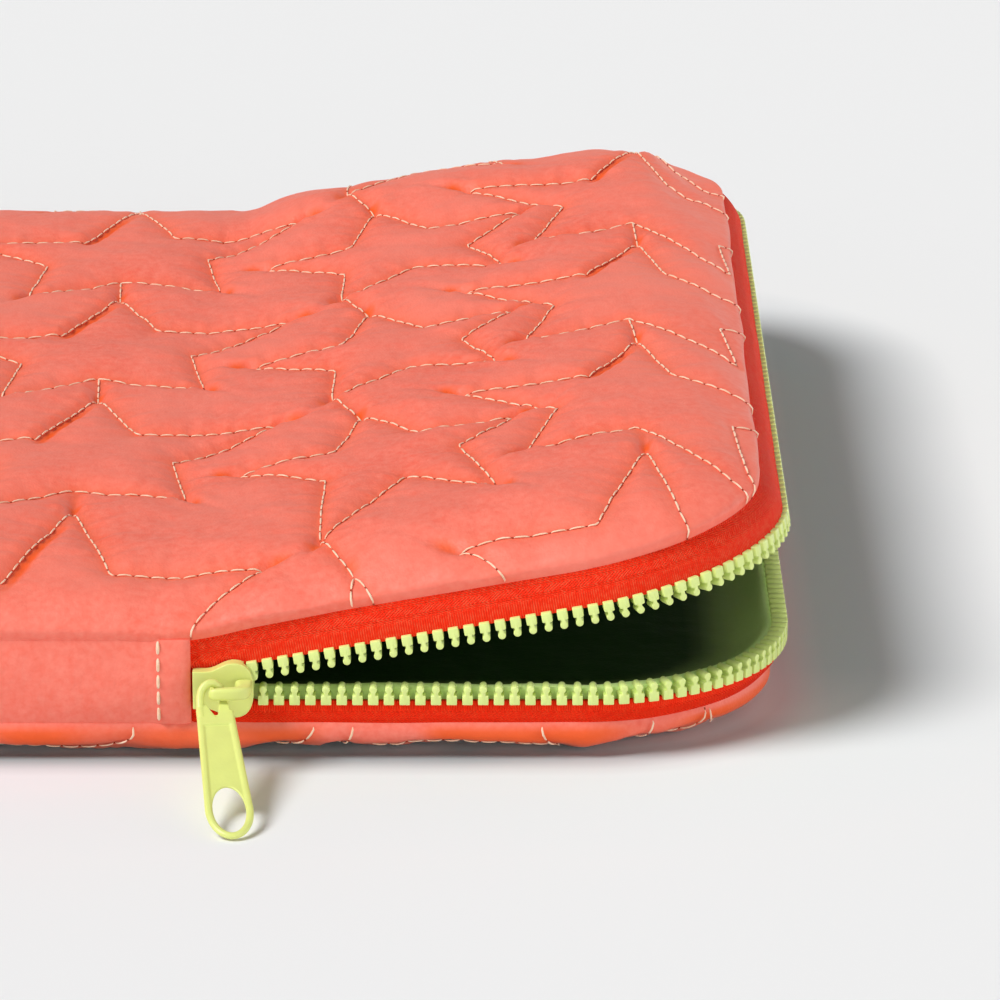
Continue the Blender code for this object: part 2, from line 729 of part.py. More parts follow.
def pull_foot():
    """How far out and up the foot of the eye lies when the pull's tip is on the floor."""
    tip_sink = PULL_THICKNESS / 2 * math.cos(PULL_SLOPE)
    up = PULL_LENGTH * math.sin(PULL_SLOPE) + tip_sink - ZIP_MID
    out = FIT_GAP + BRIDGE_OPENING + BRIDGE_BAR + PULL_LOOP_RADIUS + FIT_GAP
    return out, up


def smooth_route(places, steps):
    """Points on a Catmull-Rom curve through the places."""
    route = []
    ends = [places[0]] + [Vector(place) for place in places] + [places[-1]]
    ends = [Vector(place) for place in ends]
    for before, start, end, after in zip(ends, ends[1:], ends[2:], ends[3:]):
        for step in range(steps):
            t = step / steps
            bend = start * 2 + (end - before) * t
            bend += (before * 2 - start * 5 + end * 4 - after) * t ** 2
            bend += (start * 3 - before - end * 3 + after) * t ** 3
            route.append(bend / 2)
    route.append(ends[-1])
    return route


def slider_point(place):
    """A world point from one counted from the slider's tail, face and middle."""
    along, out, up = place
    return Vector((SLIDER_X + along, SLIDER_FRONT_Y - out, ZIP_MID + up))


def make_pull(parts, cutters):
    """The pull, at rest with its tip on the floor in front of the sleeve."""
    pull = flat_solid("pull_tab", pull_outlines(), PULL_THICKNESS, parts)
    out, up = pull_foot()
    foot = slider_point((pull_middle(), out, up))
    panel = flat_solid("pull_panel", [panel_outline()], 2 * PULL_PANEL_DEPTH, cutters)
    curve = bpy.data.curves.new("pull_loop_curve", "CURVE")
    curve.dimensions = "3D"
    curve.bevel_depth = PULL_LOOP_RADIUS
    curve.bevel_resolution = 1
    curve.use_fill_caps = True
    route = smooth_route(pull_places(), 3)
    spline = curve.splines.new("POLY")
    spline.points.add(len(route) - 1)
    for point, place in zip(spline.points, route):
        spot = slider_point(place)
        point.co = (spot.x, spot.y, spot.z, 1.0)
    loop = curve_to_mesh("pull_loop", curve, cutters)
    for item in (pull, panel):
        item.rotation_euler = (PULL_SLOPE, 0.0, PULL_YAW)
        item.location = foot
    lift = Vector((0.0, 0.0, PULL_THICKNESS / 2))
    lift.rotate(panel.rotation_euler)
    panel.location = foot + lift
    for tool, operation in ((panel, "DIFFERENCE"), (loop, "UNION")):
        make_cutter(tool)
        add_boolean(pull, tool, operation)
    finish(pull, LIME, 0.35, True)


def lift_flap(items):
    """Hangs the flap's pieces on an empty on the bend line and lifts it."""
    axis = bpy.data.objects.new("flap_axis", None)
    bpy.context.scene.collection.objects.link(axis)
    axis.location = (HINGE_X, 0.0, ZIP_MID)
    axis.rotation_euler = (0.0, -OPEN_ANGLE, 0.0)
    for item in items:
        item.parent = axis
        item.location = item.location - axis.location


def main():
    clear_scene()
    parts = new_collection("tablet_sleeve")
    cutters = new_collection("cutters")
    mouth_side = half_space("mouth_side", True, cutters)
    closed_side = half_space("closed_side", False, cutters)
    flap = make_panels(parts, mouth_side, closed_side)
    make_walls(parts)
    flap.append(make_tapes(parts, closed_side))
    flap += make_teeth(parts)
    flap.append(make_stops(parts))
    make_slider(parts, cutters)
    make_pull(parts, cutters)
    lift_flap(flap)
    bpy.context.view_layer.update()


main()
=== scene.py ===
"""Dressed look of the quilted tablet sleeve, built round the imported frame."""

import math

import bpy
import numpy as np
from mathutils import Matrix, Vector


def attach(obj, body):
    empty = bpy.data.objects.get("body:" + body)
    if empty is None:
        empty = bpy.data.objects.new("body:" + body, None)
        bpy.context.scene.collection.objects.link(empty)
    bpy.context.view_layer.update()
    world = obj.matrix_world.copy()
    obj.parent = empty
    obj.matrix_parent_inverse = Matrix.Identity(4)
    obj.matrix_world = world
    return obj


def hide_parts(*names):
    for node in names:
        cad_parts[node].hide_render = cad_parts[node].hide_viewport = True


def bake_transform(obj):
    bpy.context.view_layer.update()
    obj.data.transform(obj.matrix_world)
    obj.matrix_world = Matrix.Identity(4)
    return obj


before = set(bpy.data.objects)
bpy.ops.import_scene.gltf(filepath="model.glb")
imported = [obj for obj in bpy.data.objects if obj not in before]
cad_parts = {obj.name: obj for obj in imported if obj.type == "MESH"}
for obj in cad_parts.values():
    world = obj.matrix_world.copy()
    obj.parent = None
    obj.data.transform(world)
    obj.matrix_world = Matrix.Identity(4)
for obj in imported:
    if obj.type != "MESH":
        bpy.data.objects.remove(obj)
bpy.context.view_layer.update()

MM = 0.001

# Sizes of the CAD model, in millimetres
HALF_X = 145.0
HALF_Y = 112.5
CORNER = 32.0
HINGE = np.array([55.0, 0.0, 11.3])
OPEN = math.radians(10.0)
LOW_SEAM = 5.55
HIGH_SEAM = 18.6
ZIP_MID = 11.3
BAND_HEIGHT = 13.0
TOOTH_PITCH = 2.3
FIRST_TOOTH = 10.35

# Lengths of the rim's runs: the zip's along the front, and one corner's, end's and long side's
FRONT_RUN = 58.0
CORNER_RUN = math.pi / 2 * CORNER
END_RUN = 2 * (HALF_Y - CORNER)
LONG_RUN = 2 * (HALF_X - CORNER)
MOUTH_RUN = 2 * FRONT_RUN + 2 * CORNER_RUN + END_RUN
RIM_RUN = 2 * LONG_RUN + 2 * END_RUN + 4 * CORNER_RUN

# Where the top's cloth starts and ends to bend up
BEND_FROM = 43.0
BEND_TO = 67.0


def in_scene(name, data):
    item = bpy.data.objects.new(name, data)
    bpy.context.scene.collection.objects.link(item)
    return item


# Camera
CAMERA_PLACE = (0.100, -0.9185, 0.302)
CAMERA_TILT = math.radians(72.0)
CAMERA_LENS = 210.96
bpy.context.scene.view_settings.view_transform = "Standard"
camera_data = bpy.data.cameras.new("camera")
camera_data.lens = CAMERA_LENS
camera_data.sensor_width = 36.0
camera_data.clip_end = 20.0
camera = in_scene("camera", camera_data)
camera.location = CAMERA_PLACE
camera.rotation_euler = (CAMERA_TILT, 0.0, 0.0)
bpy.context.scene.camera = camera


# Curves that the shapes are made of
def smooth_step(value):
    value = np.clip(value, 0.0, 1.0)
    return value * value * (3 - 2 * value)


def fade(value, length):
    """Falls from 1 at zero to a third over a length, and so on."""
    return np.exp(-value / length)


def hump(value, centre, width):
    """A soft hump of height 1 about its centre."""
    return np.exp(-((value - centre) / width) ** 2)


def surge(value, size):
    """Rises from zero to 1 at a size, and falls away slowly after it."""
    return value / size * np.exp(1 - value / size)


def round_over(share, power):
    """Rises from 0 to 1 with the share, steep at first and level at the end."""
    share = np.clip(share, 0, 1)
    return (1 - (1 - share) ** power) ** (1 / power)


def waves(x, y, seed, size):
    """Smooth unevenness from a few crossing waves, from about -1 to 1."""
    local = np.random.default_rng(seed)
    total = np.zeros(x.shape)
    for _ in range(7):
        angle = local.uniform(0, math.pi)
        length = size * local.uniform(0.7, 1.6)
        phase = local.uniform(0, 2 * math.pi)
        total += np.sin((x * math.cos(angle) + y * math.sin(angle)) * 2 * math.pi / length + phase)
    return total / 3.2


def turn(points, angle):
    """Points in millimetres turned up about the bend line by an angle, or by one each."""
    out = np.array(points, float)
    dx = out[:, 0] - HINGE[0]
    dz = out[:, 2] - HINGE[2]
    out[:, 0] = HINGE[0] + dx * np.cos(angle) - dz * np.sin(angle)
    out[:, 2] = HINGE[2] + dx * np.sin(angle) + dz * np.cos(angle)
    return out


def bend(points):
    """Cloth that is continuous over the bend line, from closed to its rest pose."""
    way = smooth_step((points[:, 0] - BEND_FROM) / (BEND_TO - BEND_FROM))
    return turn(points, OPEN * way)


# Meshes
def make_mesh(name, points, faces):
    mesh = bpy.data.meshes.new(name)
    mesh.from_pydata((np.asarray(points) * MM).tolist(), [], faces)
    mesh.validate()
    mesh.update()
    mesh.shade_smooth()
    return in_scene(name, mesh)


def grid_faces(rows, columns, closed=False):
    faces = []
    last = columns if closed else columns - 1
    for row in range(rows - 1):
        for column in range(last):
            after = (column + 1) % columns
            here = row * columns
            up = here + columns
            faces.append((here + column, here + after, up + after, up + column))
    return faces


def tube_faces(rings, sides, ends_flipped=False):
    """The wall of a tube and its two ends."""
    start = tuple(range(sides))
    end = tuple((rings - 1) * sides + index for index in range(sides))
    ends = [start, end[::-1]] if ends_flipped else [start[::-1], end]
    return grid_faces(rings, sides, True) + ends


def circle(sides):
    """Places round a circle of radius 1."""
    angles = [2 * math.pi * step / sides for step in range(sides)]
    return [(math.cos(angle), math.sin(angle)) for angle in angles]


def shifted(faces, base):
    return [tuple(base + index for index in face) for face in faces]


def flipped(faces):
    return [face[::-1] for face in faces]


def add_values(item, name, values):
    attribute = item.data.attributes.new(name, "FLOAT", "POINT")
    attribute.data.foreach_set("value", np.asarray(values, np.float32))


def add_flat_map(item, flat):
    """A UV map in metres from one pair per vertex."""
    layer = item.data.uv_layers.new(name="flat")
    loops = np.zeros(len(item.data.loops), np.int32)
    item.data.loops.foreach_get("vertex_index", loops)
    layer.data.foreach_set("uv", (np.asarray(flat) * MM)[loops].astype(np.float32).ravel())


# Shader nodes
def feed(tree, made, inputs):
    """Links a node's inputs to sockets, or sets them to numbers and colours."""
    for key, value in inputs.items():
        socket = made.inputs[key]
        if isinstance(value, bpy.types.NodeSocket):
            tree.links.new(value, socket)
        elif socket.type == "RGBA":
            socket.default_value = (*value, 1.0)
        else:
            socket.default_value = value


def node(tree, kind, inputs, **settings):
    made = tree.nodes.new(kind)
    for key, value in settings.items():
        setattr(made, key, value)
    feed(tree, made, inputs)
    return made


def place_in(tree):
    """A place in the object's own frame."""
    return node(tree, "ShaderNodeTexCoord", {}).outputs["Object"]


def stored(tree, name):
    """A value that a mesh holds for each of its points."""
    return node(tree, "ShaderNodeAttribute", {}, attribute_name=name).outputs["Fac"]


def noise(tree, scale, detail, vector=None):
    inputs = {"Scale": scale, "Detail": detail, "Vector": vector or place_in(tree)}
    return node(tree, "ShaderNodeTexNoise", inputs).outputs["Fac"]


def calc(tree, operation, first, second=0.0):
    return node(tree, "ShaderNodeMath", {0: first, 1: second}, operation=operation).outputs[0]


def product(tree, first, *others):
    for other in others:
        first = calc(tree, "MULTIPLY", first, other)
    return first


def mix_colour(tree, factor, first, second):
    made = node(tree, "ShaderNodeMix", {"Factor": factor, 6: first, 7: second}, data_type="RGBA")
    return made.outputs[2]


def ramp(tree, value, start, end, low=0.0, high=1.0, shape="LINEAR"):
    """Goes from low to high while a value goes from start to end."""
    inputs = {"Value": value, "From Min": start, "From Max": end, "To Min": low, "To Max": high}
    return node(tree, "ShaderNodeMapRange", inputs, interpolation_type=shape).outputs["Result"]


def mottled(tree, scale, detail, first, second):
    """Soft patches of two colours."""
    return mix_colour(tree, ramp(tree, noise(tree, scale, detail), 0.3, 0.7), first, second)


def ridges(tree, value, step, flat):
    """Even ridges across a value, a step wide each, with a little flat at foot and top."""
    return ramp(tree, calc(tree, "PINGPONG", value, step), flat, step - flat)


def bump(tree, shader, height, distance, strength, before=None):
    inputs = {"Strength": strength, "Distance": distance, "Height": height}
    if before is not None:
        inputs["Normal"] = before
    normal = node(tree, "ShaderNodeBump", inputs).outputs["Normal"]
    feed(tree, shader, {"Normal": normal})
    return normal


# Materials
def new_material(name, colour, roughness):
    material = bpy.data.materials.new(name)
    material.use_nodes = True
    tree = material.node_tree
    shader = tree.nodes["Principled BSDF"]
    feed(tree, shader, {"Base Color": colour, "Roughness": roughness})
    return material, tree, shader


def cloth_material(name, with_painted_shade):
    """Dull nylon, finely crinkled, with painted shade and bounce light making it redder in its folds."""
    material, tree, shader = new_material(name, (0.93, 0.17, 0.11), 0.52)
    colour = mottled(tree, 38.0, 3.0, (0.88, 0.135, 0.084), (0.92, 0.205, 0.143))
    fine = ramp(tree, noise(tree, 900.0, 2.0), 0.25, 0.75)
    colour = mix_colour(tree, fine, colour, (0.93, 0.225, 0.160))
    if with_painted_shade:
        # Painted shade and bounce light: deep orange-red in the folds, by the value stored on the mesh
        colour = mix_colour(tree, stored(tree, "painted_shade_and_bounce"), colour, (0.90, 0.105, 0.010))
    feed(tree, shader, {"Base Color": colour, "Specular IOR Level": 0.32, "Sheen Weight": 0.16,
                        "Sheen Roughness": 0.35, "Sheen Tint": (1.0, 0.66, 0.55)})
    drawn = node(tree, "ShaderNodeMapping", {"Vector": place_in(tree), "Scale": (1.0, 0.55, 1.0)})
    crinkle = noise(tree, 150.0, 4.0, drawn.outputs["Vector"])
    first = bump(tree, shader, crinkle, 0.0011, 0.55)
    bump(tree, shader, noise(tree, 2600.0, 1.0), 0.00010, 0.5, first)
    return material


# The tape's weave, in metres: the width of a chevron, its ribs, its threads and its cords
CHEVRON = 0.0011
CHEVRON_SLOPE = 1.5
TWILL_RIB = 0.00030
TAPE_THREAD = 0.00017
TAPE_CORD = 0.00018


def tape_material(name, ridge_highlight_colour):
    """Twill in chevrons on the outer half, cords beside the teeth, from the flat map; its ridges go paler
    in random specks, a painted highlight.
    """
    material, tree, shader = new_material(name, (0.90, 0.035, 0.008), 0.62)
    flat = node(tree, "ShaderNodeUVMap", {}, uv_map="flat").outputs["UV"]
    split = node(tree, "ShaderNodeSeparateXYZ", {"Vector": flat})
    along, across = split.outputs["X"], split.outputs["Y"]
    loose = product(tree, noise(tree, 420.0, 2.0), 0.0006)
    slant = product(tree, calc(tree, "PINGPONG", across, CHEVRON), CHEVRON_SLOPE)
    slant = calc(tree, "ADD", calc(tree, "ADD", slant, along), loose)
    thread = calc(tree, "ADD", ridges(tree, across, TAPE_THREAD, 0.00002), 0.55)
    twill = product(tree, ridges(tree, slant, TWILL_RIB, 0.00004), thread)
    cords = ridges(tree, along, TAPE_CORD, 0.00002)
    both = {"Factor": stored(tree, "beside_teeth"), 2: twill, 3: cords}
    height = node(tree, "ShaderNodeMix", both, data_type="FLOAT").outputs[0]
    speckle = ramp(tree, noise(tree, 1300.0, 2.0), 0.40, 0.72)
    bright = product(tree, height, calc(tree, "ADD", speckle, 0.25))
    # Painted highlight on the raised weave, stronger in random specks
    colour = mix_colour(tree, bright, (1.0, 0.022, 0.002), ridge_highlight_colour)
    feed(tree, shader, {"Base Color": colour, "Specular IOR Level": 0.08})
    bump(tree, shader, height, 0.00016, 0.9)
    return material


def plastic_material(name, colour, roughness):
    material, tree, shader = new_material(name, colour, roughness)
    darker = tuple(value * 0.94 for value in colour)
    feed(tree, shader, {"Base Color": mottled(tree, 260.0, 2.0, darker, colour),
                        "Specular IOR Level": 0.45, "Subsurface Weight": 0.12,
                        "Subsurface Radius": (1.0, 1.0, 0.4), "Subsurface Scale": 0.0007})
    bump(tree, shader, noise(tree, 1800.0, 2.0), 0.00005, 0.5)
    return material


def lining_material():
    """Lime cloth at the mouth, with painted shade making it nearly black deep in the pocket."""
    material, tree, shader = new_material("lining_weave", (0.40, 0.66, 0.15), 0.6)
    colour = mottled(tree, 60.0, 3.0, (0.74, 0.98, 0.36), (0.80, 1.0, 0.42))
    # Painted shade: nearly black where the pocket lies deep
    colour = mix_colour(tree, stored(tree, "pocket_shade"), colour, (0.007, 0.034, 0.001))
    feed(tree, shader, {"Base Color": colour, "Specular IOR Level": 0.15})
    first = bump(tree, shader, noise(tree, 90.0, 3.0), 0.0012, 0.5)
    bump(tree, shader, noise(tree, 2200.0, 1.0), 0.0001, 0.5, first)
    return material


def thread_material():
    material, tree, shader = new_material("thread_twist", (0.96, 0.80, 0.54), 0.55)
    colour = mottled(tree, 900.0, 2.0, (0.86, 0.54, 0.34), (0.95, 0.71, 0.52))
    feed(tree, shader, {"Base Color": colour, "Sheen Weight": 0.3})
    bump(tree, shader, noise(tree, 4200.0, 1.0), 0.00008, 0.6)
    return material


# Painted shade for the needle pits: dark red-brown
def pit_material():
    material, tree, shader = new_material("needle_pit", (0.30, 0.035, 0.012), 0.8)
    colour = mottled(tree, 700.0, 2.0, (0.34, 0.030, 0.008), (0.55, 0.075, 0.022))
    feed(tree, shader, {"Base Color": colour})
    return material


QUILT = cloth_material("quilt_nylon", True)
BAND = cloth_material("band_nylon", False)
# Two copies of one tape: the lower one's ridges are less pale, painted shade on the lower tape
UPPER_TAPE = tape_material("upper_tape_weave", (1.0, 0.115, 0.045))
LOWER_TAPE = tape_material("lower_tape_weave", (1.0, 0.060, 0.014))
LIME = plastic_material("lime_moulding", (0.74, 0.80, 0.235), 0.36)
LIME_TEETH = plastic_material("lime_teeth", (0.75, 0.87, 0.29), 0.34)
LINING = lining_material()
THREAD = thread_material()
PIT = pit_material()


def dress(item, material):
    item.data.materials.clear()
    item.data.materials.append(material)
    return item


# The rim, and the way in from it
def rim_place(along, inset):
    """Point and heading at a length along the rim from the zip's front end."""
    left = (along + LONG_RUN - FRONT_RUN) % RIM_RUN
    heading = 0.0
    x, y = -HALF_X + CORNER, -HALF_Y
    for straight in (LONG_RUN, END_RUN, LONG_RUN, END_RUN):
        fx, fy = math.cos(heading), math.sin(heading)
        ix, iy = -fy, fx
        if left <= straight:
            return x + fx * left + ix * inset, y + fy * left + iy * inset, heading
        left -= straight
        cx, cy = x + fx * straight + ix * CORNER, y + fy * straight + iy * CORNER
        if left < CORNER_RUN:
            heading += left / CORNER
            reach = CORNER - inset
            return cx + math.sin(heading) * reach, cy - math.cos(heading) * reach, heading
        left -= CORNER_RUN
        heading += math.pi / 2
        x = cx + math.sin(heading) * CORNER
        y = cy - math.cos(heading) * CORNER
    return x, y, heading


def outwards(x, y):
    """How far inside the outline a point lies, its share of the turn to an end, and the way out."""
    ax, ay = np.abs(x), np.abs(y)
    qx, qy = ax - (HALF_X - CORNER), ay - (HALF_Y - CORNER)
    corner = (qx > 0) & (qy > 0)
    reach = np.hypot(qx, qy)
    inset = np.where(corner, CORNER - reach, np.minimum(HALF_X - ax, HALF_Y - ay))
    share = np.where(corner, np.arctan2(np.maximum(qx, 0), np.maximum(qy, 1e-6)) / (math.pi / 2), 0)
    share = np.where(~corner & (HALF_X - ax < HALF_Y - ay), 1.0, share)
    reach = np.maximum(reach, 1e-6)
    out_x = np.sign(x) * np.where(corner, qx / reach, share > 0.5)
    out_y = np.sign(y) * np.where(corner, qy / reach, share <= 0.5)
    return inset, share, out_x, out_y


def inset_of(x, y):
    """The first two of these."""
    return outwards(x, y)[:2]


# How far in the seams and the lower teeth lie along the mouth, at its front and at its end
MOUTH_FROM = 53.0
FLAP_LEAN = (1.7, 3.4)
FLAP_LEAN_RUN = 25.0
BASE_LEAN = (0.3, 4.5)
ROW_LEAN = 1.5


def lean_at(x, share):
    """How far in the flap's seam lies from the outline: the zip tape leans in to it."""
    front = FLAP_LEAN[0] * np.clip((x - MOUTH_FROM) / FLAP_LEAN_RUN, 0, 1)
    return np.where(x < MOUTH_FROM, 0.0, front * (1 - share) + FLAP_LEAN[1] * share)


def low_lean_at(x, share):
    """The same for the base's seam, which draws in round the mouth's end."""
    return np.where(x < MOUTH_FROM, 0.0, BASE_LEAN[0] * (1 - share) + BASE_LEAN[1] * share ** 0.8)


def row_in_at(x, share):
    """The same for the lower teeth: the mouth's end gives way."""
    return np.where(x < MOUTH_FROM, 0.0, ROW_LEAN * smooth_step(share * 1.1))


def at_rim(rule, along):
    """What one of these three gives at a length along the rim."""
    x, y, _ = rim_place(along, 0.0)
    _, share = inset_of(np.array(x), np.array(y))
    return float(rule(np.array(x), share))


# The quilting: five-pointed stars in columns, each column a little different in size
WIDE_STAR = ((-0.5, 31.8), (6.9, 12.5), (32.3, 10.9), (13.8, -2.7), (17.4, -21.5),
             (-1.1, -15.3), (-16.3, -25.3), (-14.4, -6.2), (-31.0, 8.0), (-8.9, 9.5))
SMALL_STAR = ((-4.6, 24.2), (5.2, 10.6), (20.2, 11.6), (11.3, -1.1), (17.2, -16.5),
              (2.9, -11.5), (-9.6, -22.0), (-9.4, -6.7), (-24.6, 4.2), (-8.4, 7.0))
END_STAR = ((1.1, 33.3), (6.2, 12.6), (25.5, -8.0), (14.3, -15.0), (15.9, -33.7),
            (0.1, -13.3), (-17.0, -15.7), (-12.0, 2.7), (-27.7, 18.2), (-6.9, 16.2))
COLUMNS = ((-115.0, SMALL_STAR, -3.0), (-64.4, WIDE_STAR, 12.6), (-14.5, SMALL_STAR, -3.0),
           (35.6, WIDE_STAR, 12.6), (85.5, SMALL_STAR, -3.0), (124.2, END_STAR, 5.1))
ROWS = range(-3, 3)
ROW_PITCH = 58.2

# How far the front row slips forward: from which x on, in front of which y, and by how much.
# Past the last of them, the legs of the stars lie further forward too
FRONT_SLIPS = ((70.0, -72.0, 12.0), (108.0, -80.0, 10.0), (132.0, -80.0, 16.0))
SLIP_RUN = 12.0
LAST_LEGS_FROM = 132.0

# The underside's stitching where it comes up over the front edge to the seam
BASE_FRONT = [
    [(-100.2, -112.05), (-99.6, -111.9), (-98.8, -111.5), (-97.0, -110.8), (-92.5, -109.4), (-78.0, -99.5)],
    [(-68.0, -109.9), (-52.0, -110.3), (-38.0, -109.2), (-24.0, -99.5)],
    [(-20.5, -112.05), (-20.0, -111.9), (-19.2, -111.5), (-17.0, -110.8), (-9.0, -109.6), (5.5, -109.9)],
    [(46.3, -112.05), (45.6, -111.9), (44.6, -111.5), (42.4, -110.6), (32.4, -109.4), (14.0, -109.9),
     (5.5, -99.5)],
    [(73.1, -112.05), (72.3, -111.9), (71.2, -111.5), (69.2, -110.8), (66.2, -109.6), (58.0, -99.5)],
    [(78.7, -112.05), (78.3, -111.9), (77.8, -111.5), (77.2, -110.6), (76.4, -109.4), (74.0, -99.5)],
    [(80.9, -109.5), (92.8, -110.3), (104.6, -109.5), (118.0, -99.5)],
    [(92.8, -110.3), (94.0, -109.2), (95.0, -99.5)],
    [(105.9, -112.05), (106.3, -111.9), (106.9, -111.5), (107.8, -110.7), (109.0, -109.4), (104.6, -109.5)],
    [(123.2, -110.2), (120.6, -108.3), (116.2, -107.2), (130.4, -104.6), (133.0, -92.0)],
]
BASE_FRONT_TO = -101.0

# Links between stars that end between these two y lie just behind the front row
FOLD_ONLY = (-90.0, -71.0)


def star_lines():
    """Polylines of stitching in the closed sleeve's plane, and the tips of the stars."""
    lines = []
    tips = []
    grooves = []
    for x0, shape, y0 in COLUMNS:
        for row in ROWS:
            centre = (x0, y0 + ROW_PITCH * row)
            corners = [(centre[0] + dx, centre[1] + dy) for dx, dy in shape]
            lines.append(corners + corners[:1])
            tips += [(corners[index], centre) for index in range(0, 10, 2)]
            if shape is not SMALL_STAR:
                grooves.append((corners[9], corners[0], centre))
            link_from = 6 if shape is SMALL_STAR else 5
            below = (centre[0] + shape[0][0], centre[1] + shape[0][1] - ROW_PITCH)
            lines.append([corners[link_from], below])
    return lines, tips, grooves


def settle(place):
    """The front rows of stars slip forward where the padding rolls over the edge."""
    x, y = place
    start, slip = -72.0, 8.5 + 2.5 * smooth_step((-y - 100.0) / 6.0)
    for past, its_start, its_slip in FRONT_SLIPS:
        if x > past:
            start, slip = its_start, its_slip
    if x > LAST_LEGS_FROM:
        y -= (3.7 + 0.103 * (y + 9.4)) * (y > -75.0)
    aside = 2.2 * smooth_step((y - 5.0) / 60.0) * smooth_step((x - 90.0) / 20.0)
    return x + float(aside), y - slip * float(smooth_step((start - y) / SLIP_RUN))


def turn_over(place):
    """Where a place of the top's pattern comes on the underside, cut from the same cloth."""
    x, y = place
    return x - 6.0, -y + 9.0


class Quilting:
    """The stitching of one panel: its lines, the tips of its stars and its deeper folds."""

    def __init__(self, move, front=()):
        lines, tips, grooves = star_lines()
        self.lines = [[move(place) for place in line] for line in lines]
        if front:
            self.lines = [line for line in self.lines if min(y for x, y in line) > BASE_FRONT_TO]
            self.lines += front
        # On the top, the links that end just behind the front stars are only folds
        self.stitched = [line for line in self.lines
                         if front or len(line) > 2 or not FOLD_ONLY[0] < line[-1][1] < FOLD_ONLY[1]]
        self.tips = [(move(tip), move(centre)) for tip, centre in tips]
        self.grooves = [[move(place) for place in groove] for groove in grooves]
        pieces = np.array([(*a, *b) for line in self.lines for a, b in zip(line, line[1:])])
        near = np.abs(pieces[:, [1, 3]]).min(axis=1) < HALF_Y + 4
        near &= np.abs(pieces[:, [0, 2]]).min(axis=1) < HALF_X + 4
        self.pieces = pieces[near]
        self.phases = np.random.default_rng(7).uniform(0, 1, len(self.pieces))


TOP_QUILTING = Quilting(settle)
BASE_QUILTING = Quilting(turn_over, BASE_FRONT)


# The quilted cloth's relief
def nearest_line(quilting, x, y):
    """Distance to the nearest stitching, how far along it, and which piece of it."""
    best = np.full(x.shape, 1e9)
    along = np.zeros(x.shape)
    which = np.zeros(x.shape, int)
    for index, (ax, ay, bx, by) in enumerate(quilting.pieces):
        dx, dy = bx - ax, by - ay
        length = math.hypot(dx, dy)
        t = np.clip(((x - ax) * dx + (y - ay) * dy) / length ** 2, 0, 1)
        distance = np.hypot(x - ax - t * dx, y - ay - t * dy)
        closer = distance < best
        best = np.where(closer, distance, best)
        along = np.where(closer, t * length, along)
        which = np.where(closer, index, which)
    return best, along, which


def beside_line(x, y, start, heading):
    """How far places lie along a line from its start, and to the left of it."""
    size = math.hypot(*heading)
    dx, dy = heading[0] / size, heading[1] / size
    return (x - start[0]) * dx + (y - start[1]) * dy, (x - start[0]) * -dy + (y - start[1]) * dx


def press_groove(relief, painted_shade_and_bounce, x, y, groove):
    """A deep fold on a star's leg: a trough on the star's side, a ridge on the other, and painted shade in
    the trough.
    """
    start, end, centre = groove
    heading = (end[0] - start[0], end[1] - start[1])
    size = math.hypot(*heading)
    run, off = beside_line(x, y, start, heading)
    if beside_line(*centre, start, heading)[1] <= 0:
        off = -off
    close = (run > -6) & (run < size + 5) & (np.abs(off) < 8)
    off, share = off[close], run[close] / size
    window = smooth_step((share + 0.25) / 0.4) * smooth_step((1.15 - share) / 0.75)
    if start[0] > 100 and start[1] < -60:
        window = window * 0.25
    relief[close] -= 0.75 * window * hump(off, 1.2, 1.1)
    relief[close] += 0.50 * window * hump(off, -1.5, 1.4)
    painted_shade_and_bounce[close] = np.maximum(painted_shade_and_bounce[close], 1.15 * window * hump(off, 1.0, 1.2))


def press_tip(relief, painted_shade_and_bounce, x, y, tip, centre):
    """The crease that runs out from the tip of a star, with the cloth puckered beside it, and painted shade
    in its pinch.
    """
    if abs(tip[0]) > HALF_X or abs(tip[1]) > HALF_Y:
        return
    out, side = beside_line(x, y, tip, (tip[0] - centre[0], tip[1] - centre[1]))
    close = (np.abs(out) < 16) & (np.abs(side) < 9)
    out, side = out[close], side[close]
    crease = fade(np.maximum(out, 0), 5.0) * hump(np.minimum(out, 0), 0.0, 1.6)
    relief[close] -= 1.15 * crease * hump(side, 0.0, 0.8)
    relief[close] += 0.40 * crease * hump(np.abs(side), 2.3, 1.2)
    pinch = 1.4 * hump(out, 1.9, 1.9) * hump(side, 0.0, 1.1)
    painted_shade_and_bounce[close] = np.maximum(painted_shade_and_bounce[close], pinch)


def quilt_relief(quilting, x, y):
    """Height of the quilted cloth over the plain crown, and how much painted shade and bounce light its
    folds get.
    """
    distance, along, which = nearest_line(quilting, x, y)
    phases = quilting.phases[which]
    # The cloth puffs up between the lines
    eased = np.sqrt(distance ** 2 + 0.36) - 0.6
    relief = 0.45 * (1 - fade(eased, 1.3)) + 1.25 * (1 - fade(eased, 5.0))
    # Short pleats run across them
    pleats = np.sin(along * 2 * math.pi / (3.9 + phases) + phases * 9)
    pleats += 0.7 * np.sin(along * 2 * math.pi / (2.5 + 0.5 * phases) + phases * 5)
    relief += 0.19 * pleats * fade(distance, 3.8) * (1 - fade(distance, 0.9))
    # It is uneven all over
    relief += 0.30 * waves(x, y, 3, 24.0) + 0.13 * waves(x, y, 5, 9.0)
    relief += 0.10 * waves(x, y * 0.3, 8, 5.5)
    # Painted shade and bounce light, strongest close to the stitching
    painted_shade_and_bounce = 0.34 * fade(distance, 2.6) + 0.26 * fade(distance, 0.7)
    for groove in quilting.grooves:
        press_groove(relief, painted_shade_and_bounce, x, y, groove)
    for tip, centre in quilting.tips:
        press_tip(relief, painted_shade_and_bounce, x, y, tip, centre)
    return relief, np.clip(painted_shade_and_bounce, 0, 1)


# The two panels: how far in the seam lies, the top's crown and roll, and the base's roll
EDGE_INSET = 0.2
CROWN = 6.6
ROLL = 26.0
BASE_ROLL = 6.0
BACK_FROM = 50.0


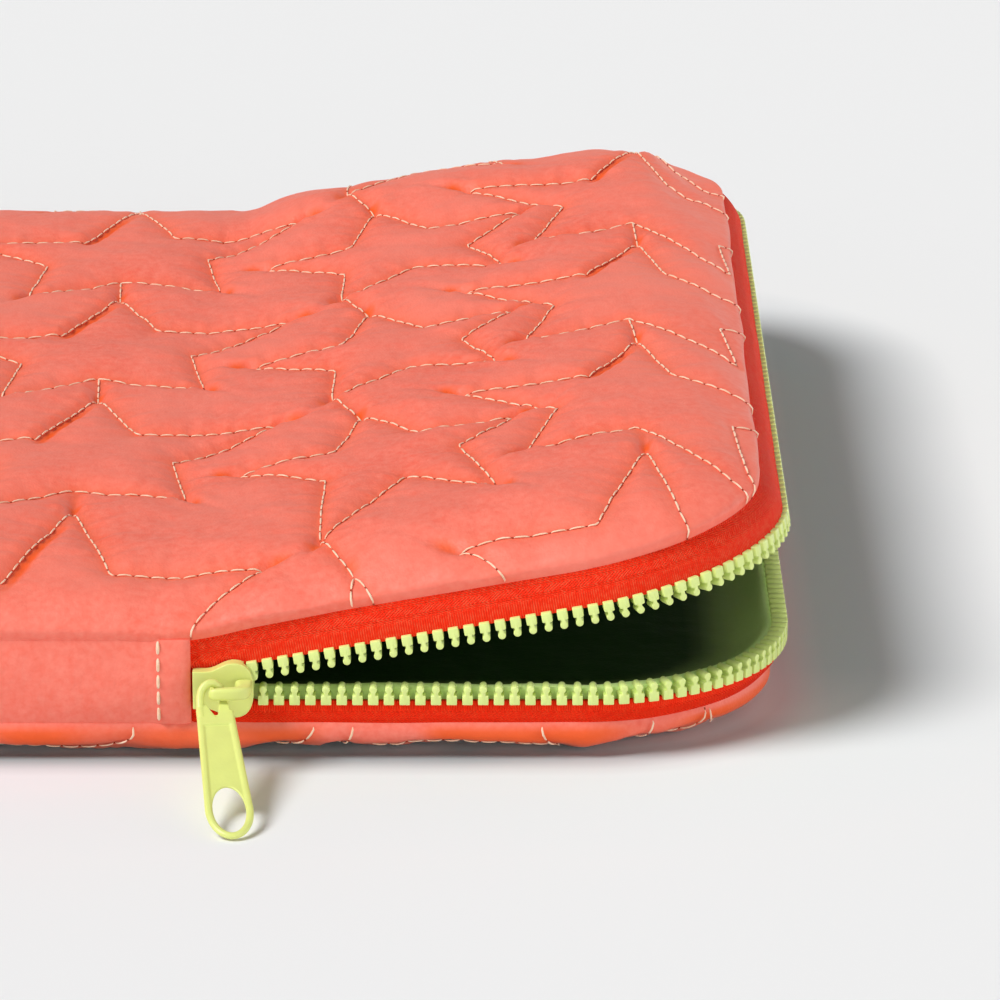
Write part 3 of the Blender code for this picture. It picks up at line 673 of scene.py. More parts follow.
def top_height(x, y):
    """The closed top's height, how much painted shade and bounce light its folds get, and how far in from
    its seam.
    """
    inset, share = inset_of(x, y)
    clear = np.maximum(inset - lean_at(x, share) - EDGE_INSET, 0.0)
    relief, painted_shade_and_bounce = quilt_relief(TOP_QUILTING, x, y)
    # The quilting is flatter along the back edge
    relief -= 0.5 * smooth_step((y - 84.0) / 14.0) * (relief - 1.1)
    at_edge = 1 - fade(clear, 6.0)
    gather = 0.5 * fade(clear, 8.0) * (1 - fade(clear, 1.2)) * waves(x, y, 11, 10.0)
    back = smooth_step((y - BACK_FROM) / 45.0)
    rise = round_over(clear / ROLL, 2.4)
    rise *= CROWN * (1 - 0.62 * back * smooth_step((x - 128.5) / 11.5))
    rise += HIGH_SEAM + (relief - 0.15) * at_edge + gather
    # The back of the flap is fuller than the front, and drops to its corner
    rise += back * at_edge * 1.5 * hump(x, 125.0, 10.0)
    rise += back * at_edge * 2.6 * smooth_step((x - 52.0) / 20.0) * smooth_step((122.0 - x) / 24.0)
    rise -= back * at_edge * 2.6 * smooth_step((x - 129.0) / 13.0)
    return rise, painted_shade_and_bounce * np.maximum(at_edge, 0.35), clear


def bottom_height(x, y):
    """The underside: a puffed edge that turns under quickly to where it lies on the floor."""
    inset, share = inset_of(x, y)
    clear = np.maximum(inset - low_lean_at(x, share) - EDGE_INSET, 0.0)
    at_end = smooth_step((x - 60.0) / 50.0) * share
    drop = round_over(clear / (BASE_ROLL * (1 + at_end)), 2.2)
    relief, painted_shade_and_bounce = quilt_relief(BASE_QUILTING, x, y)
    at_edge = 1 - fade(clear, 1.6)
    # It lies on the floor where it puffs most, and clear of it along the lines and at some edges
    rest = np.maximum(1.15 - relief, 0) * 1.1 * at_edge
    rest += 0.8 * smooth_step(waves(x, y, 17, 25.0)) * fade(np.abs(clear - 3.0), 4.0)
    # Light from the floor reddens its turned edge in patches
    glow = smooth_step(0.6 + waves(x, y, 41, 19.0)) * fade(clear, 5.0)
    # Painted shade of the folds and painted bounce light from the floor, in one value
    painted_shade_and_bounce = np.maximum(painted_shade_and_bounce * at_edge, glow * smooth_step(clear / 0.15))
    return np.maximum(LOW_SEAM * (1 - drop) + rest * drop, 0.0), painted_shade_and_bounce, clear


def bulge(points, clear, quilting=None):
    """Pushes a puffed edge outwards a little, most where it is steepest."""
    x, y = points[:, 0], points[:, 1]
    _, _, out_x, out_y = outwards(x, y)
    push = 0.75 * surge(clear, 0.45) * (1 + 0.45 * waves(x, y, 29, 27.0))
    if quilting:
        distance, _, _ = nearest_line(quilting, x, y)
        push = 0.5 * push + 0.9 * (1 - fade(distance, 4.0)) * surge(clear, 1.3)
    points[:, 0] += out_x * push
    points[:, 1] += out_y * push
    return points


# Grids over the sleeve's outline: their steps in from its edge, and how deep an inset is felt
EDGE_STEPS = [0.0, 0.12, 0.3, 0.55, 0.85, 1.2, 1.6, 2.1, 2.7, 3.4]
INSET_RUN = 30.0


def graded(half, step):
    """Places across the sleeve, closer together near both edges."""
    near = EDGE_STEPS
    inner = half - near[-1] - step
    middle = np.linspace(-inner, inner, int(2 * inner / step) + 1)
    edge = half - np.array(near)
    return np.concatenate((-edge, middle, edge[::-1]))


def rounded_grid(step, inset, lean):
    """A grid over the sleeve's outline, drawn in by an inset and, round the mouth, by a lean."""
    along_x = graded(HALF_X, step)
    along_y = graded(HALF_Y, step)
    gx, gy = np.meshgrid(along_x, along_y)
    x, y = gx.ravel(), gy.ravel()
    p = np.maximum(np.abs(x) - (HALF_X - CORNER), 0) / CORNER
    q = np.maximum(np.abs(y) - (HALF_Y - CORNER), 0) / CORNER
    both = (p > 0) & (q > 0)
    nx = HALF_X - CORNER + CORNER * p * np.sqrt(1 - q ** 2 / 2)
    ny = HALF_Y - CORNER + CORNER * q * np.sqrt(1 - p ** 2 / 2)
    x = np.where(both, np.sign(x) * nx, x)
    y = np.where(both, np.sign(y) * ny, y)
    depth, share, out_x, out_y = outwards(x, y)
    move = (inset + lean(x, share)) * np.clip(1 - depth / INSET_RUN, 0, 1)
    return x - out_x * move, y - out_y * move, len(along_y), len(along_x)


def edge_loop(rows, columns):
    """Indices round a grid's edge, counter-clockwise."""
    grid = np.arange(rows * columns).reshape(rows, columns)
    return np.concatenate((grid[0], grid[1:, -1], grid[-1, -2::-1], grid[-2:0:-1, 0])).tolist()


def add_hem(points, faces, values, loop, drops, flip):
    """Rings that turn the cloth's edge in under itself: each (inwards, down)."""
    points = list(map(tuple, points))
    values = list(values)
    before = loop
    for inwards, down in drops:
        ring = []
        for index in loop:
            x, y, z = points[index]
            size = math.hypot(x, y)
            ring.append(len(points))
            points.append((x * (1 - inwards / size), y * (1 - inwards / size), z - down))
            values.append(values[index])
        count = len(loop)
        for step in range(count):
            after = (step + 1) % count
            face = (before[step], ring[step], ring[after], before[after])
            faces.append(face[::-1] if flip else face)
        before = ring
    return np.array(points), faces, values


# The quilted panels
STEP = 0.8
TOP_HEM = ((0.5, 0.35), (2.6, 0.5))
BASE_HEM = ((0.5, -0.3), (2.6, -0.4))


def quilted(name, step, lean, height, hem, under):
    """A panel's quilted cloth, its edge turned in under itself."""
    x, y, rows, columns = rounded_grid(step, EDGE_INSET, lean)
    z, painted_shade_and_bounce, clear = height(x, y)
    points = bulge(np.column_stack((x, y, z)), clear, BASE_QUILTING if under else None)
    faces = grid_faces(rows, columns)
    if under:
        faces = flipped(faces)
    points, faces, painted_shade_and_bounce = add_hem(points, faces, painted_shade_and_bounce, edge_loop(rows, columns), hem, under)
    item = make_mesh(name, points if under else bend(points), faces)
    # The amount of painted shade and bounce light, for the cloth's colour
    add_values(item, "painted_shade_and_bounce", painted_shade_and_bounce)
    return dress(item, QUILT)


def make_quilt_top():
    item = quilted("quilt_top", STEP, lean_at, top_height, TOP_HEM, False)
    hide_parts("top_shell_closed", "top_shell_flap", "top_wadding_closed", "top_wadding_flap")
    return item


def make_quilt_bottom():
    item = quilted("quilt_bottom", STEP * 1.25, low_lean_at, bottom_height, BASE_HEM, True)
    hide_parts("bottom_shell", "bottom_wadding")
    return item


# Sewing thread: the pitch of its stitches, the gap between two, and its own shape
STITCH_PITCH = 2.75
STITCH_GAP = 0.42
STITCH_SHARES = (0.0, 0.14, 0.5, 0.86, 1.0)
STITCH_PROFILE = ((0.45, -0.55), (0.85, 0.10), (1.0, 0.42), (0.85, 0.10), (0.45, -0.55))
SHORTEST_RUN = 1.2
THREAD_RADIUS = 0.17
THREAD_FLATNESS = 0.8
THREAD_LIFT = 0.14
FLOOR_CLEARANCE = 0.02
PIT_SIDES = 6
PIT_DEPTH = 0.25


def route_places(line, spacing):
    """Points along a polyline at even spacing in plan."""
    places = []
    for (ax, ay), (bx, by) in zip(line, line[1:]):
        count = max(2, int(math.hypot(bx - ax, by - ay) / spacing))
        for index in range(count):
            share = index / count
            places.append((ax + (bx - ax) * share, ay + (by - ay) * share))
    places.append(line[-1])
    return np.array(places)


def at_seam(spot, normal, sign):
    """The place at the seam beside the last place of a line that runs into it."""
    out = normal[:2] / max(np.hypot(*normal[:2]), 1e-6)
    return np.array([*(spot[:2] - out * 0.2), HIGH_SEAM + 0.15 if sign > 0 else LOW_SEAM - 0.2])


def thread_route(line, quilting, height, sign, nudge=0.25):
    """Where a line of thread lies on the cloth, the way out of it, and how far from the seam."""
    x, y = line[:, 0], line[:, 1]
    z, _, clear = height(x, y)
    slope_x = (height(x + nudge, y)[0] - height(x - nudge, y)[0]) / (2 * nudge)
    slope_y = (height(x, y + nudge)[0] - height(x, y - nudge)[0]) / (2 * nudge)
    soft = 0.25 + 0.75 * fade(clear, 3.0)
    normal = np.column_stack((-slope_x * soft, -slope_y * soft, np.ones(len(x)))) * sign
    spots = bulge(np.column_stack((x, y, z)), clear, quilting if sign < 0 else None)
    lift = THREAD_LIFT + 0.10 * fade(clear, 3.0)
    if sign < 0:
        lift += 0.14 * fade(clear, 2.5) + 0.45 * fade(clear, 0.5)
    spots += normal / np.linalg.norm(normal, axis=1, keepdims=True) * np.reshape(lift, (-1, 1))
    return spots, normal, clear


def stitches_on(quilting, height, sign, lean):
    """Each stitch's five places and the way out of the cloth, at even lengths along it."""
    stitches = []
    normals = []
    for line in quilting.stitched:
        plan = route_places(line, 0.12)
        inset, share = inset_of(plan[:, 0], plan[:, 1])
        inside = (np.abs(plan[:, 0]) < HALF_X) & (np.abs(plan[:, 1]) < HALF_Y)
        inside &= inset - lean(plan[:, 0], share) > EDGE_INSET + 0.02
        if not inside.any():
            continue
        spots, normal, clear = thread_route(plan, quilting, height, sign)
        changes = np.flatnonzero(np.diff(np.concatenate(([0], inside.astype(int), [0]))))
        for first, last in zip(changes[::2], changes[1::2]):
            run = spots[first:last]
            if clear[first] < 0.5:
                run = np.vstack((at_seam(spots[first], normal[first], sign), run))
            if clear[last - 1] < 0.5:
                run = np.vstack((run, at_seam(spots[last - 1], normal[last - 1], sign)))
            steps = np.linalg.norm(np.diff(run, axis=0), axis=1)
            lengths = np.concatenate(([0], np.cumsum(steps)))
            if lengths[-1] < SHORTEST_RUN:
                continue
            count = max(1, round(lengths[-1] / STITCH_PITCH))
            even = lengths[-1] / count
            for index in range(count):
                start, end = index * even + STITCH_GAP / 2, (index + 1) * even - STITCH_GAP / 2
                at = [start + (end - start) * share for share in STITCH_SHARES]
                stitches.append(np.column_stack([np.interp(at, lengths, axis) for axis in run.T]))
                middle = min(int(np.searchsorted(lengths, at[2])), last - first - 1)
                normals.append(normal[first + middle])
    return stitches, normals


def thread_mesh(stitches, normals, radius, sides=6):
    """Short plump stitches, each arched a little out of the cloth between its holes."""
    points = []
    faces = []
    tube = tube_faces(len(STITCH_PROFILE), sides)
    around = circle(sides)
    for stitch, normal in zip(stitches, normals):
        spots = [Vector(spot) for spot in stitch]
        along = (spots[-1] - spots[0]).normalized()
        side = along.cross(Vector(normal)).normalized()
        out = side.cross(along)
        faces += shifted(tube, len(points))
        for spot, (width, lift) in zip(spots, STITCH_PROFILE):
            centre = spot + out * (lift * radius)
            for across, up in around:
                ring = centre + side * (across * radius * width)
                points.append(tuple(ring + out * (up * radius * width * THREAD_FLATNESS)))
    return points, faces


def needle_holes(stitches, normals, radius):
    """The pits where the thread goes down, between one stitch and the next, dark with painted shade."""
    points = []
    faces = []
    for stitch, normal in zip(stitches, normals):
        before, end, normal = Vector(stitch[-2]), Vector(stitch[-1]), Vector(normal).normalized()
        along = (end - before).normalized()
        side = along.cross(normal).normalized()
        centre = end + along * 0.22 - normal * 0.02
        base = len(points)
        for step, (ahead, across) in enumerate(circle(PIT_SIDES)):
            spot = centre + along * (ahead * radius * 1.3)
            points.append(tuple(spot + side * (across * radius)))
            faces.append((base + step, base + (step + 1) % PIT_SIDES, base + PIT_SIDES))
        points.append(tuple(centre - normal * PIT_DEPTH))
    return points, faces


def make_thread(word, quilting, height, sign, lean):
    """A panel's stitches, and the pits of the needle."""
    stitches, normals = stitches_on(quilting, height, sign, lean)
    sides = 6
    made = []
    for name, (points, faces), material in (
        ("quilt_thread_" + word, thread_mesh(stitches, normals, THREAD_RADIUS, sides), THREAD),
        ("needle_pits_" + word, needle_holes(stitches, normals, THREAD_RADIUS), PIT),
    ):
        points = np.array(points)
        if sign > 0:
            points = bend(points)
        else:
            points[:, 2] = np.maximum(points[:, 2], FLOOR_CLEARANCE)
        made.append(dress(make_mesh(name, points, faces), material))
    return made


# The zip's tapes: half the gap between their edges, their thickness, how far in they lie and
# reach past the seams, and how much lower the lower row lies than in the CAD
TAPE_GAP = 1.9
TAPE_THICK = 0.7
TAPE_INSET = 0.75
TAPE_OVERLAP = 0.35
ROW_DROP = 0.45


def rim_strip(stations, section):
    """A strip along the rim; section(along) gives its (inset, height) points."""
    points = []
    flat = []
    for along in stations:
        ring = section(along)
        length = 0.0
        for index, (inset, height) in enumerate(ring):
            if index:
                length += math.hypot(inset - ring[index - 1][0], height - ring[index - 1][1])
            x, y, _ = rim_place(along, inset)
            points.append((x, y, height))
            flat.append((along, length))
    return np.array(points), tube_faces(len(stations), len(ring), True), flat


def with_back(outer, thick):
    """A section's outer side, and the same line again behind it."""
    return outer + [(inset + thick, height) for inset, height in reversed(outer)]


def closed_behind(along):
    """How far the tape's edges come together, behind the slider's tail, from 0 to 1."""
    return 1 - float(smooth_step((min(along, MOUTH_RUN - along) - 5.5) / 4.0))


def tape_wave(along):
    """The tape's slight waviness; past the zip's ends it lies further in."""
    tucked = 0.5 if along < 0.0 or along > MOUTH_RUN else 0.0
    return 0.10 * math.sin(along / 6.3) + 0.07 * math.sin(along / 2.9 + 1) + tucked


def upper_section(along):
    """From the upper teeth's root to the flap's seam, softly rounded."""
    seam = at_rim(lean_at, along) + 0.45
    low, high = ZIP_MID + TAPE_GAP * (1 - closed_behind(along)), HIGH_SEAM + TAPE_OVERLAP
    outer = []
    for share in np.linspace(0, 1, 8):
        inset = TAPE_INSET + (seam - TAPE_INSET) * share ** 1.5
        inset += tape_wave(along) * math.sin(math.pi * share) ** 0.5
        outer.append((inset, low + (high - low) * (share + 0.10 * math.sin(math.pi * share))))
    return with_back(outer, TAPE_THICK)


def lower_section(along):
    """From the base's seam to the lower teeth's root."""
    row_in = at_rim(row_in_at, along)
    lean = at_rim(low_lean_at, along) - row_in
    low, high = LOW_SEAM - TAPE_OVERLAP, ZIP_MID - (TAPE_GAP + ROW_DROP) * (1 - closed_behind(along))
    outer = []
    for share in np.linspace(0, 1, 8):
        inset = 0.45 + 0.3 * share - 0.35 * math.sin(math.pi * share) + tape_wave(along) * 0.5
        inset += lean * (1 - share) ** 1.4 + row_in
        outer.append((inset, low + (high - low) * share))
    return with_back(outer, TAPE_THICK)


def make_tapes():
    pitch = 1.0
    stations = np.linspace(0.15, MOUTH_RUN - 0.15, int(MOUTH_RUN / pitch))
    stations = np.concatenate(([-1.3, -0.15], stations, [MOUTH_RUN + 0.15, MOUTH_RUN + 1.3]))
    for upper in (False, True):
        points, faces, flat = rim_strip(stations, upper_section if upper else lower_section)
        if upper:
            points = turn(points, OPEN)
        name = "upper_zip_tape" if upper else "lower_zip_tape"
        item = make_mesh(name, points, faces)
        item.data.set_sharp_from_angle(angle=math.radians(50))
        add_flat_map(item, flat)
        half = len(points) // len(stations) // 2
        # The upper section starts at the teeth, the lower one ends there
        teeth_at = 0.0 if upper else 1.0
        away = [abs(teeth_at - index / (half - 1)) for index in range(half)]
        beside = [float(smooth_step((0.42 - value) / 0.12)) for value in away + away[::-1]]
        add_values(item, "beside_teeth", beside * len(stations))
        dress(item, UPPER_TAPE if upper else LOWER_TAPE)
        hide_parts("upper_tape" if upper else "lower_tape")
        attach(item, "flap" if upper else "base")


# Teeth: a root block, a neck and a round head, measured from the head's centre
ROOT_AND_NECK = [(0.0, -2.35), (0.64, -2.35), (0.73, -2.31), (0.76, -2.20), (0.76, -1.00), (0.72, -0.90),
                 (0.60, -0.86), (0.34, -0.82), (0.30, -0.70), (0.33, -0.52)]
ROOT_MIDDLE = (0.0, -1.6)
HEAD_MIDDLE = (0.0, 0.04)
HEAD_RADIUS = 0.57
HEAD_FROM = math.radians(-55)
HEAD_TURN = math.radians(145)
HEAD_STEPS = 7
ROOT_TO = -0.79
NECK_TO = -0.4
# How deep each ring of a tooth lies, and how far its edge is rounded there
TOOTH_RINGS = ((0.0, 0.13), (0.035, 0.05), (0.12, 0.0), (2.28, 0.0), (2.36, 0.05), (2.4, 0.13))


def tooth_template():
    """A moulded tooth: a square root block, a slim neck and a round head."""
    right = list(ROOT_AND_NECK)
    for step in range(HEAD_STEPS):
        angle = HEAD_FROM + HEAD_TURN * step / HEAD_STEPS
        right.append((HEAD_RADIUS * math.cos(angle), HEAD_RADIUS * math.sin(angle)))
    outline = right + [(0.0, HEAD_RADIUS)] + [(-x, y) for x, y in reversed(right[1:])]
    points = []
    for depth, shrink in TOOTH_RINGS:
        for x, y in outline:
            middle = ROOT_MIDDLE if y < ROOT_TO else HEAD_MIDDLE
            dx, dy = x - middle[0], y - middle[1]
            keep = 0.4 if ROOT_TO < y < NECK_TO else 1.0
            factor = 1 - shrink * keep / max(math.hypot(dx, dy), 1e-6)
            points.append((middle[0] + dx * factor, middle[1] + dy * factor, depth))
    return points, tube_faces(len(TOOTH_RINGS), len(outline))


def make_teeth():
    template, template_faces = tooth_template()
    for upper in (False, True):
        first = FIRST_TOOTH - (TOOTH_PITCH / 2 if upper else 0.0)
        points = []
        faces = []
        flip = -1 if upper else 1
        for along in np.arange(first, MOUTH_RUN - 6.0, TOOTH_PITCH):
            x, y, heading = rim_place(along, 0.0 if upper else at_rim(row_in_at, along))
            cos, sin = math.cos(heading), math.sin(heading)
            faces += shifted(flipped(template_faces) if upper else template_faces, len(points))
            for across, up, depth in template:
                px = x + across * cos - depth * sin
                py = y + across * sin + depth * cos
                points.append((px, py, ZIP_MID + flip * up - (0.0 if upper else ROW_DROP)))
        points = np.array(points)
        if upper:
            points = turn(points, OPEN)
        word = "upper" if upper else "lower"
        item = make_mesh(word + "_teeth", points, faces)
        item.data.set_sharp_from_angle(angle=math.radians(60))
        dress(item, LIME_TEETH)
        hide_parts(word + "_front_teeth", word + "_end_teeth")
        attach(item, "flap" if upper else "base")


# Side band: how far in its seams and its back lie, where it is folded in, and its stitching
BAND_START = MOUTH_RUN + 0.2
BAND_END = RIM_RUN - 0.2
BAND_INSET = 0.35
BAND_BACK = 0.75
FOLD_PLACES = np.array([0.0, 0.25, 0.7, 1.4, 2.6, 4.0, 5.4])
BAND_STITCHES = 5
BAND_STITCH_PITCH = 12.6 / BAND_STITCHES
BAND_STITCH_GAP = 0.45
BAND_THREAD_RADIUS = 0.27


def band_bow(share):
    """How far the band bows out between its seams."""
    return 0.75 * math.sin(math.pi * share) ** 0.7


def band_section(along):
    """The band is folded in at both ends, softly bowed, and uneven along its length."""
    from_end = min(along - BAND_START, BAND_END - along)
    tuck = 0.55 * math.exp(-from_end / 0.35)
    thick = 0.35 * (1 - float(smooth_step(np.array((from_end - 4.4) / 0.8))))
    wave = 0.22 * math.sin(along / 9.7) + 0.13 * math.sin(along / 4.1 + 2)
    outer = []
    for share in np.linspace(0, 1, 15):
        ripple = wave * math.sin(2 * math.pi * share) * 0.8 * min(1, from_end / 12)
        height = LOW_SEAM + 0.1 + BAND_HEIGHT * share
        outer.append((BAND_INSET - band_bow(share) - thick + tuck + ripple, height))
    return outer + [(BAND_BACK, height) for _, height in reversed(outer)]


def make_band():
    """The smooth side band, sewn at top and bottom, and the thread across its ends."""
    pitch = 1.2
    stations = np.linspace(BAND_START, BAND_END, int((BAND_END - BAND_START) / pitch))
    stations = stations[(stations > BAND_START + 7) & (stations < BAND_END - 7)]
    stations = np.concatenate((BAND_START + FOLD_PLACES, stations, (BAND_END - FOLD_PLACES)[::-1]))
    points, faces, _ = rim_strip(stations, band_section)
    item = make_mesh("side_band_cloth", points, faces)
    item.data.set_sharp_from_angle(angle=math.radians(60))
    dress(item, BAND)
    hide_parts("side_band")
    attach(item, "base")
    stitches = []
    normals = []
    for along in (BAND_START + 4.7, BAND_END - 4.7):
        for index in range(BAND_STITCHES):
            low = LOW_SEAM + 0.75 + index * BAND_STITCH_PITCH
            share = (low + BAND_STITCH_PITCH / 2 - LOW_SEAM) / BAND_HEIGHT
            x, y, heading = rim_place(along, BAND_INSET - band_bow(share) - 0.30)
            length = BAND_STITCH_PITCH - BAND_STITCH_GAP
            stitches.append([(x, y, low + length * value) for value in STITCH_SHARES])
            normals.append((math.sin(heading), -math.cos(heading), 0.0))
    thread = make_mesh("band_thread", *thread_mesh(stitches, normals, BAND_THREAD_RADIUS))
    dress(thread, THREAD)
    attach(thread, "base")


# Linings: their grid, how far in their edges lie, and the base lining's rim from its edge in
LINING_STEP = 2.4
LOW_LINING_INSET = 1.6
TOP_LINING_INSET = 1.3
RIM_PLACES = (1.6, 2.1, 2.7, 3.4, 4.3, 5.5, 7.5, 10.0)
RIM_HEIGHTS = (8.0, 9.3, 10.45, 10.75, 10.2, 8.8, 7.3, 6.7)


def pocket_depth(x, y):
    """How deep in the pocket the lining lies, from 0 at the mouth's rim to 1: its share of painted shade.
    """
    inset, _ = inset_of(x, y)
    return np.where(x > HINGE[0], smooth_step((inset - 4.5) / 12.0), 1.0)


def thicken(item):
    thick = item.modifiers.new("cloth", "SOLIDIFY")
    thick.thickness = 0.4 * MM
    thick.offset = -1.0


def make_lining_bottom():
    """Turned over a soft rim behind the lower teeth, flat in the pocket."""
    x, y, rows, columns = rounded_grid(LINING_STEP, LOW_LINING_INSET, row_in_at)
    inset, share = inset_of(x, y)
    inset = inset - row_in_at(x, share) * np.clip(1 - inset / INSET_RUN, 0, 1)
    at_mouth = smooth_step((x - HINGE[0] - 1.0) / 4.0)
    rim = np.interp(inset, RIM_PLACES, RIM_HEIGHTS)
    plain = 8.0 - 1.4 * smooth_step((inset - LOW_LINING_INSET) / 5.0)
    z = plain + (rim - plain) * at_mouth + 0.12 * waves(x, y, 21, 31.0)
    z += 0.16 * at_mouth * waves(x, y, 27, 13.0) * fade(np.abs(inset - 4.0), 2.5)
    z = np.maximum(z, 6.4)
    item = make_mesh("lining_bottom", np.column_stack((x, y, z)), grid_faces(rows, columns))
    # Painted shade, more of it deeper in the pocket
    add_values(item, "pocket_shade", pocket_depth(x, y))
    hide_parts("bottom_lining")
    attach(item, "base")
    dress(item, LINING)
    thicken(item)
    return item


def make_lining_top():
    """Under the top's cloth, turned down a little at the mouth."""
    x, y, rows, columns = rounded_grid(LINING_STEP, TOP_LINING_INSET, lean_at)
    inset, share = inset_of(x, y)
    clear = inset - lean_at(x, share) - TOP_LINING_INSET
    z = 17.9 - 0.5 * smooth_step(clear / 12.0) + 0.2 * waves(x, y, 23, 37.0)
    z -= 2.1 * fade(clear, 0.9) * smooth_step((x - HINGE[0]) / 4.0)
    faces = flipped(grid_faces(rows, columns))
    item = make_mesh("lining_top", bend(np.column_stack((x, y, z))), faces)
    # Painted shade, more of it deeper in the pocket
    add_values(item, "pocket_shade", pocket_depth(x, y))
    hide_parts("top_lining_closed", "top_lining_flap")
    dress(item, LINING)
    thicken(item)
    return item


def side_lining_section(along):
    outer = []
    for share in np.linspace(0, 1, 7):
        outer.append((1.15 + 0.5 * math.sin(math.pi * share), 6.6 + 11.2 * share))
    return with_back(outer, -0.35)


def make_lining_side():
    points, faces, _ = rim_strip(np.linspace(MOUTH_RUN, RIM_RUN, 160), side_lining_section)
    item = make_mesh("lining_side", points, flipped(faces))
    # The side lining gets the full painted shade
    add_values(item, "pocket_shade", np.ones(len(points)))
    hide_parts("side_band_lining")
    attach(item, "base")
    dress(item, LINING)


# Moulded pieces
def evaluated_mesh(item):
    depsgraph = bpy.context.evaluated_depsgraph_get()
    return bpy.data.meshes.new_from_object(item.evaluated_get(depsgraph))


def moulded(name, source, voxel, rounds, body, material, mesh=None):
    """A CAD piece, or the mesh given for it, as it comes from the mould: edges softened."""
    item = in_scene(name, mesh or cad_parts[source].data.copy())
    remesh = item.modifiers.new("skin", "REMESH")
    remesh.mode = "VOXEL"
    remesh.voxel_size = voxel * MM * 1
    remesh.use_smooth_shade = True
    smooth = item.modifiers.new("soften", "SMOOTH")
    smooth.factor = 0.5
    smooth.iterations = rounds
    bpy.context.view_layer.update()
    final = evaluated_mesh(item)
    item.modifiers.clear()
    item.data = final
    final.shade_smooth()
    dress(item, material)
    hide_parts(source)
    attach(item, body)


def cut_corners(route, rounds):
    """Rounds a polyline off by cutting its corners, keeping both ends."""
    route = np.array(route, float)
    for _ in range(rounds):
        first = route[:-1] * 0.75 + route[1:] * 0.25
        second = route[:-1] * 0.25 + route[1:] * 0.75
        middle = np.stack((first, second), axis=1).reshape(-1, route.shape[1])
        route = np.vstack((route[:1], middle, route[-1:]))
    return route


def from_curve(routes, flat, half, round_off):
    """Points and faces of a flat plate with holes, or of a round rod along a route."""
    data = bpy.data.curves.new("route", "CURVE")
    data.dimensions = "2D" if flat else "3D"
    data.fill_mode = "BOTH" if flat else "FULL"
    data.extrude = half
    data.bevel_depth = round_off
    data.bevel_resolution = 3
    data.offset = -round_off if flat else 0.0
    data.use_fill_caps = not flat
    for route in routes:
        spline = data.splines.new("POLY")
        spline.points.add(len(route) - 1)
        for point, place in zip(spline.points, route):
            point.co = (*place, 0.0, 1.0) if flat else (*place, 1.0)
        spline.use_cyclic_u = flat
    item = in_scene("route", data)
    mesh = evaluated_mesh(item)
    bpy.data.objects.remove(item)
    points = np.array([vertex.co[:] for vertex in mesh.vertices])
    return points, [tuple(face.vertices) for face in mesh.polygons]


def joined(parts):
    """One mesh from several lots of points and faces."""
    faces = []
    start = 0
    for points, own_faces in parts:
        faces += shifted(own_faces, start)
        start += len(points)
    mesh = bpy.data.meshes.new("joined")
    mesh.from_pydata((np.vstack([points for points, _ in parts]) * MM).tolist(), [], faces)
    return mesh


# The pull: a round rim, a thin plate, a neck with a notch, and its loop, all one moulding
SLIDER_TAIL = np.array([55.15, -114.9, 11.3])
PULL_FOOT = np.array([58.65, -119.4, 10.1])
PULL_SLOPE = math.radians(20.0)
PULL_YAW = math.radians(8.0)
HOLE_AT = 21.9
HOLE_HALVES = (2.36, 5.03)
RIM_HALVES = (2.93, 5.52)
RIM_RADIUS = 0.57
RIM_HEIGHT_SHARE = 0.86
PLATE = (0.10, 0.12)
NECK = (0.40, 0.09)
LOOP_RADIUS = 0.63
NECK_OUTLINE = [(-2.55, 0.5), (-1.5, 1.2), (-1.15, 0.9), (0.0, -1.75), (0.25, -1.75), (0.6, 0.7),
                (0.85, 2.0), (1.3, 2.35), (1.8, 2.1), (2.05, 1.2), (2.35, -3.35), (-2.35, -3.35)]
LOOP_LEFT = [(-2.08, -1.6, 0), (-2.08, -0.3, 0), (-2.10, 0.6, 0)]
LOOP_RIGHT = [(1.45, 0.9, -0.3), (1.45, 0.0, -0.3), (1.45, -1.2, -0.3)]
# The loop over the bar: along the zip, out from it and up, from the slider's tail
LOOP_OVER = [(1.36, 3.9, -0.60), (1.24, 3.1, 0.15), (1.52, 2.3, 1.55), (2.75, 1.8, 2.42), (4.0, 1.6, 1.7),
             (4.50, 1.7, 0.4), (4.65, 2.1, -0.6), (4.70, 2.7, -1.15), (4.78, 3.4, -1.25)]
# The bridge's bar: along, out and up, then half its height and half its width
BRIDGE = [(3.05, -0.4, 0.5, 0.42, 0.52), (3.05, 1.6, 0.5, 0.42, 0.52), (3.05, 2.7, 0.85, 0.70, 0.60),
          (3.15, 3.20, 0.95, 0.86, 0.60), (4.3, 3.30, 1.02, 0.94, 0.64), (6.4, 3.20, 1.06, 0.98, 0.70),
          (7.4, 2.8, 1.06, 0.98, 0.86), (7.75, 1.9, 1.02, 0.95, 1.00), (7.65, 0.6, 0.98, 0.94, 1.15),
          (7.50, -0.5, 0.98, 1.00, 1.35)]
BRIDGE_SIDES = 20
BRIDGE_SQUARENESS = 0.6


def on_plate(points):
    """From the plate's own plane, down its length from zero at its foot, to the sleeve."""
    x, y, z = np.array(points, float).T
    cos, sin = math.cos(PULL_SLOPE), math.sin(PULL_SLOPE)
    y, z = y * cos - z * sin, y * sin + z * cos
    cos, sin = math.cos(PULL_YAW), math.sin(PULL_YAW)
    return np.column_stack((x * cos - y * sin, x * sin + y * cos, z)) + PULL_FOOT


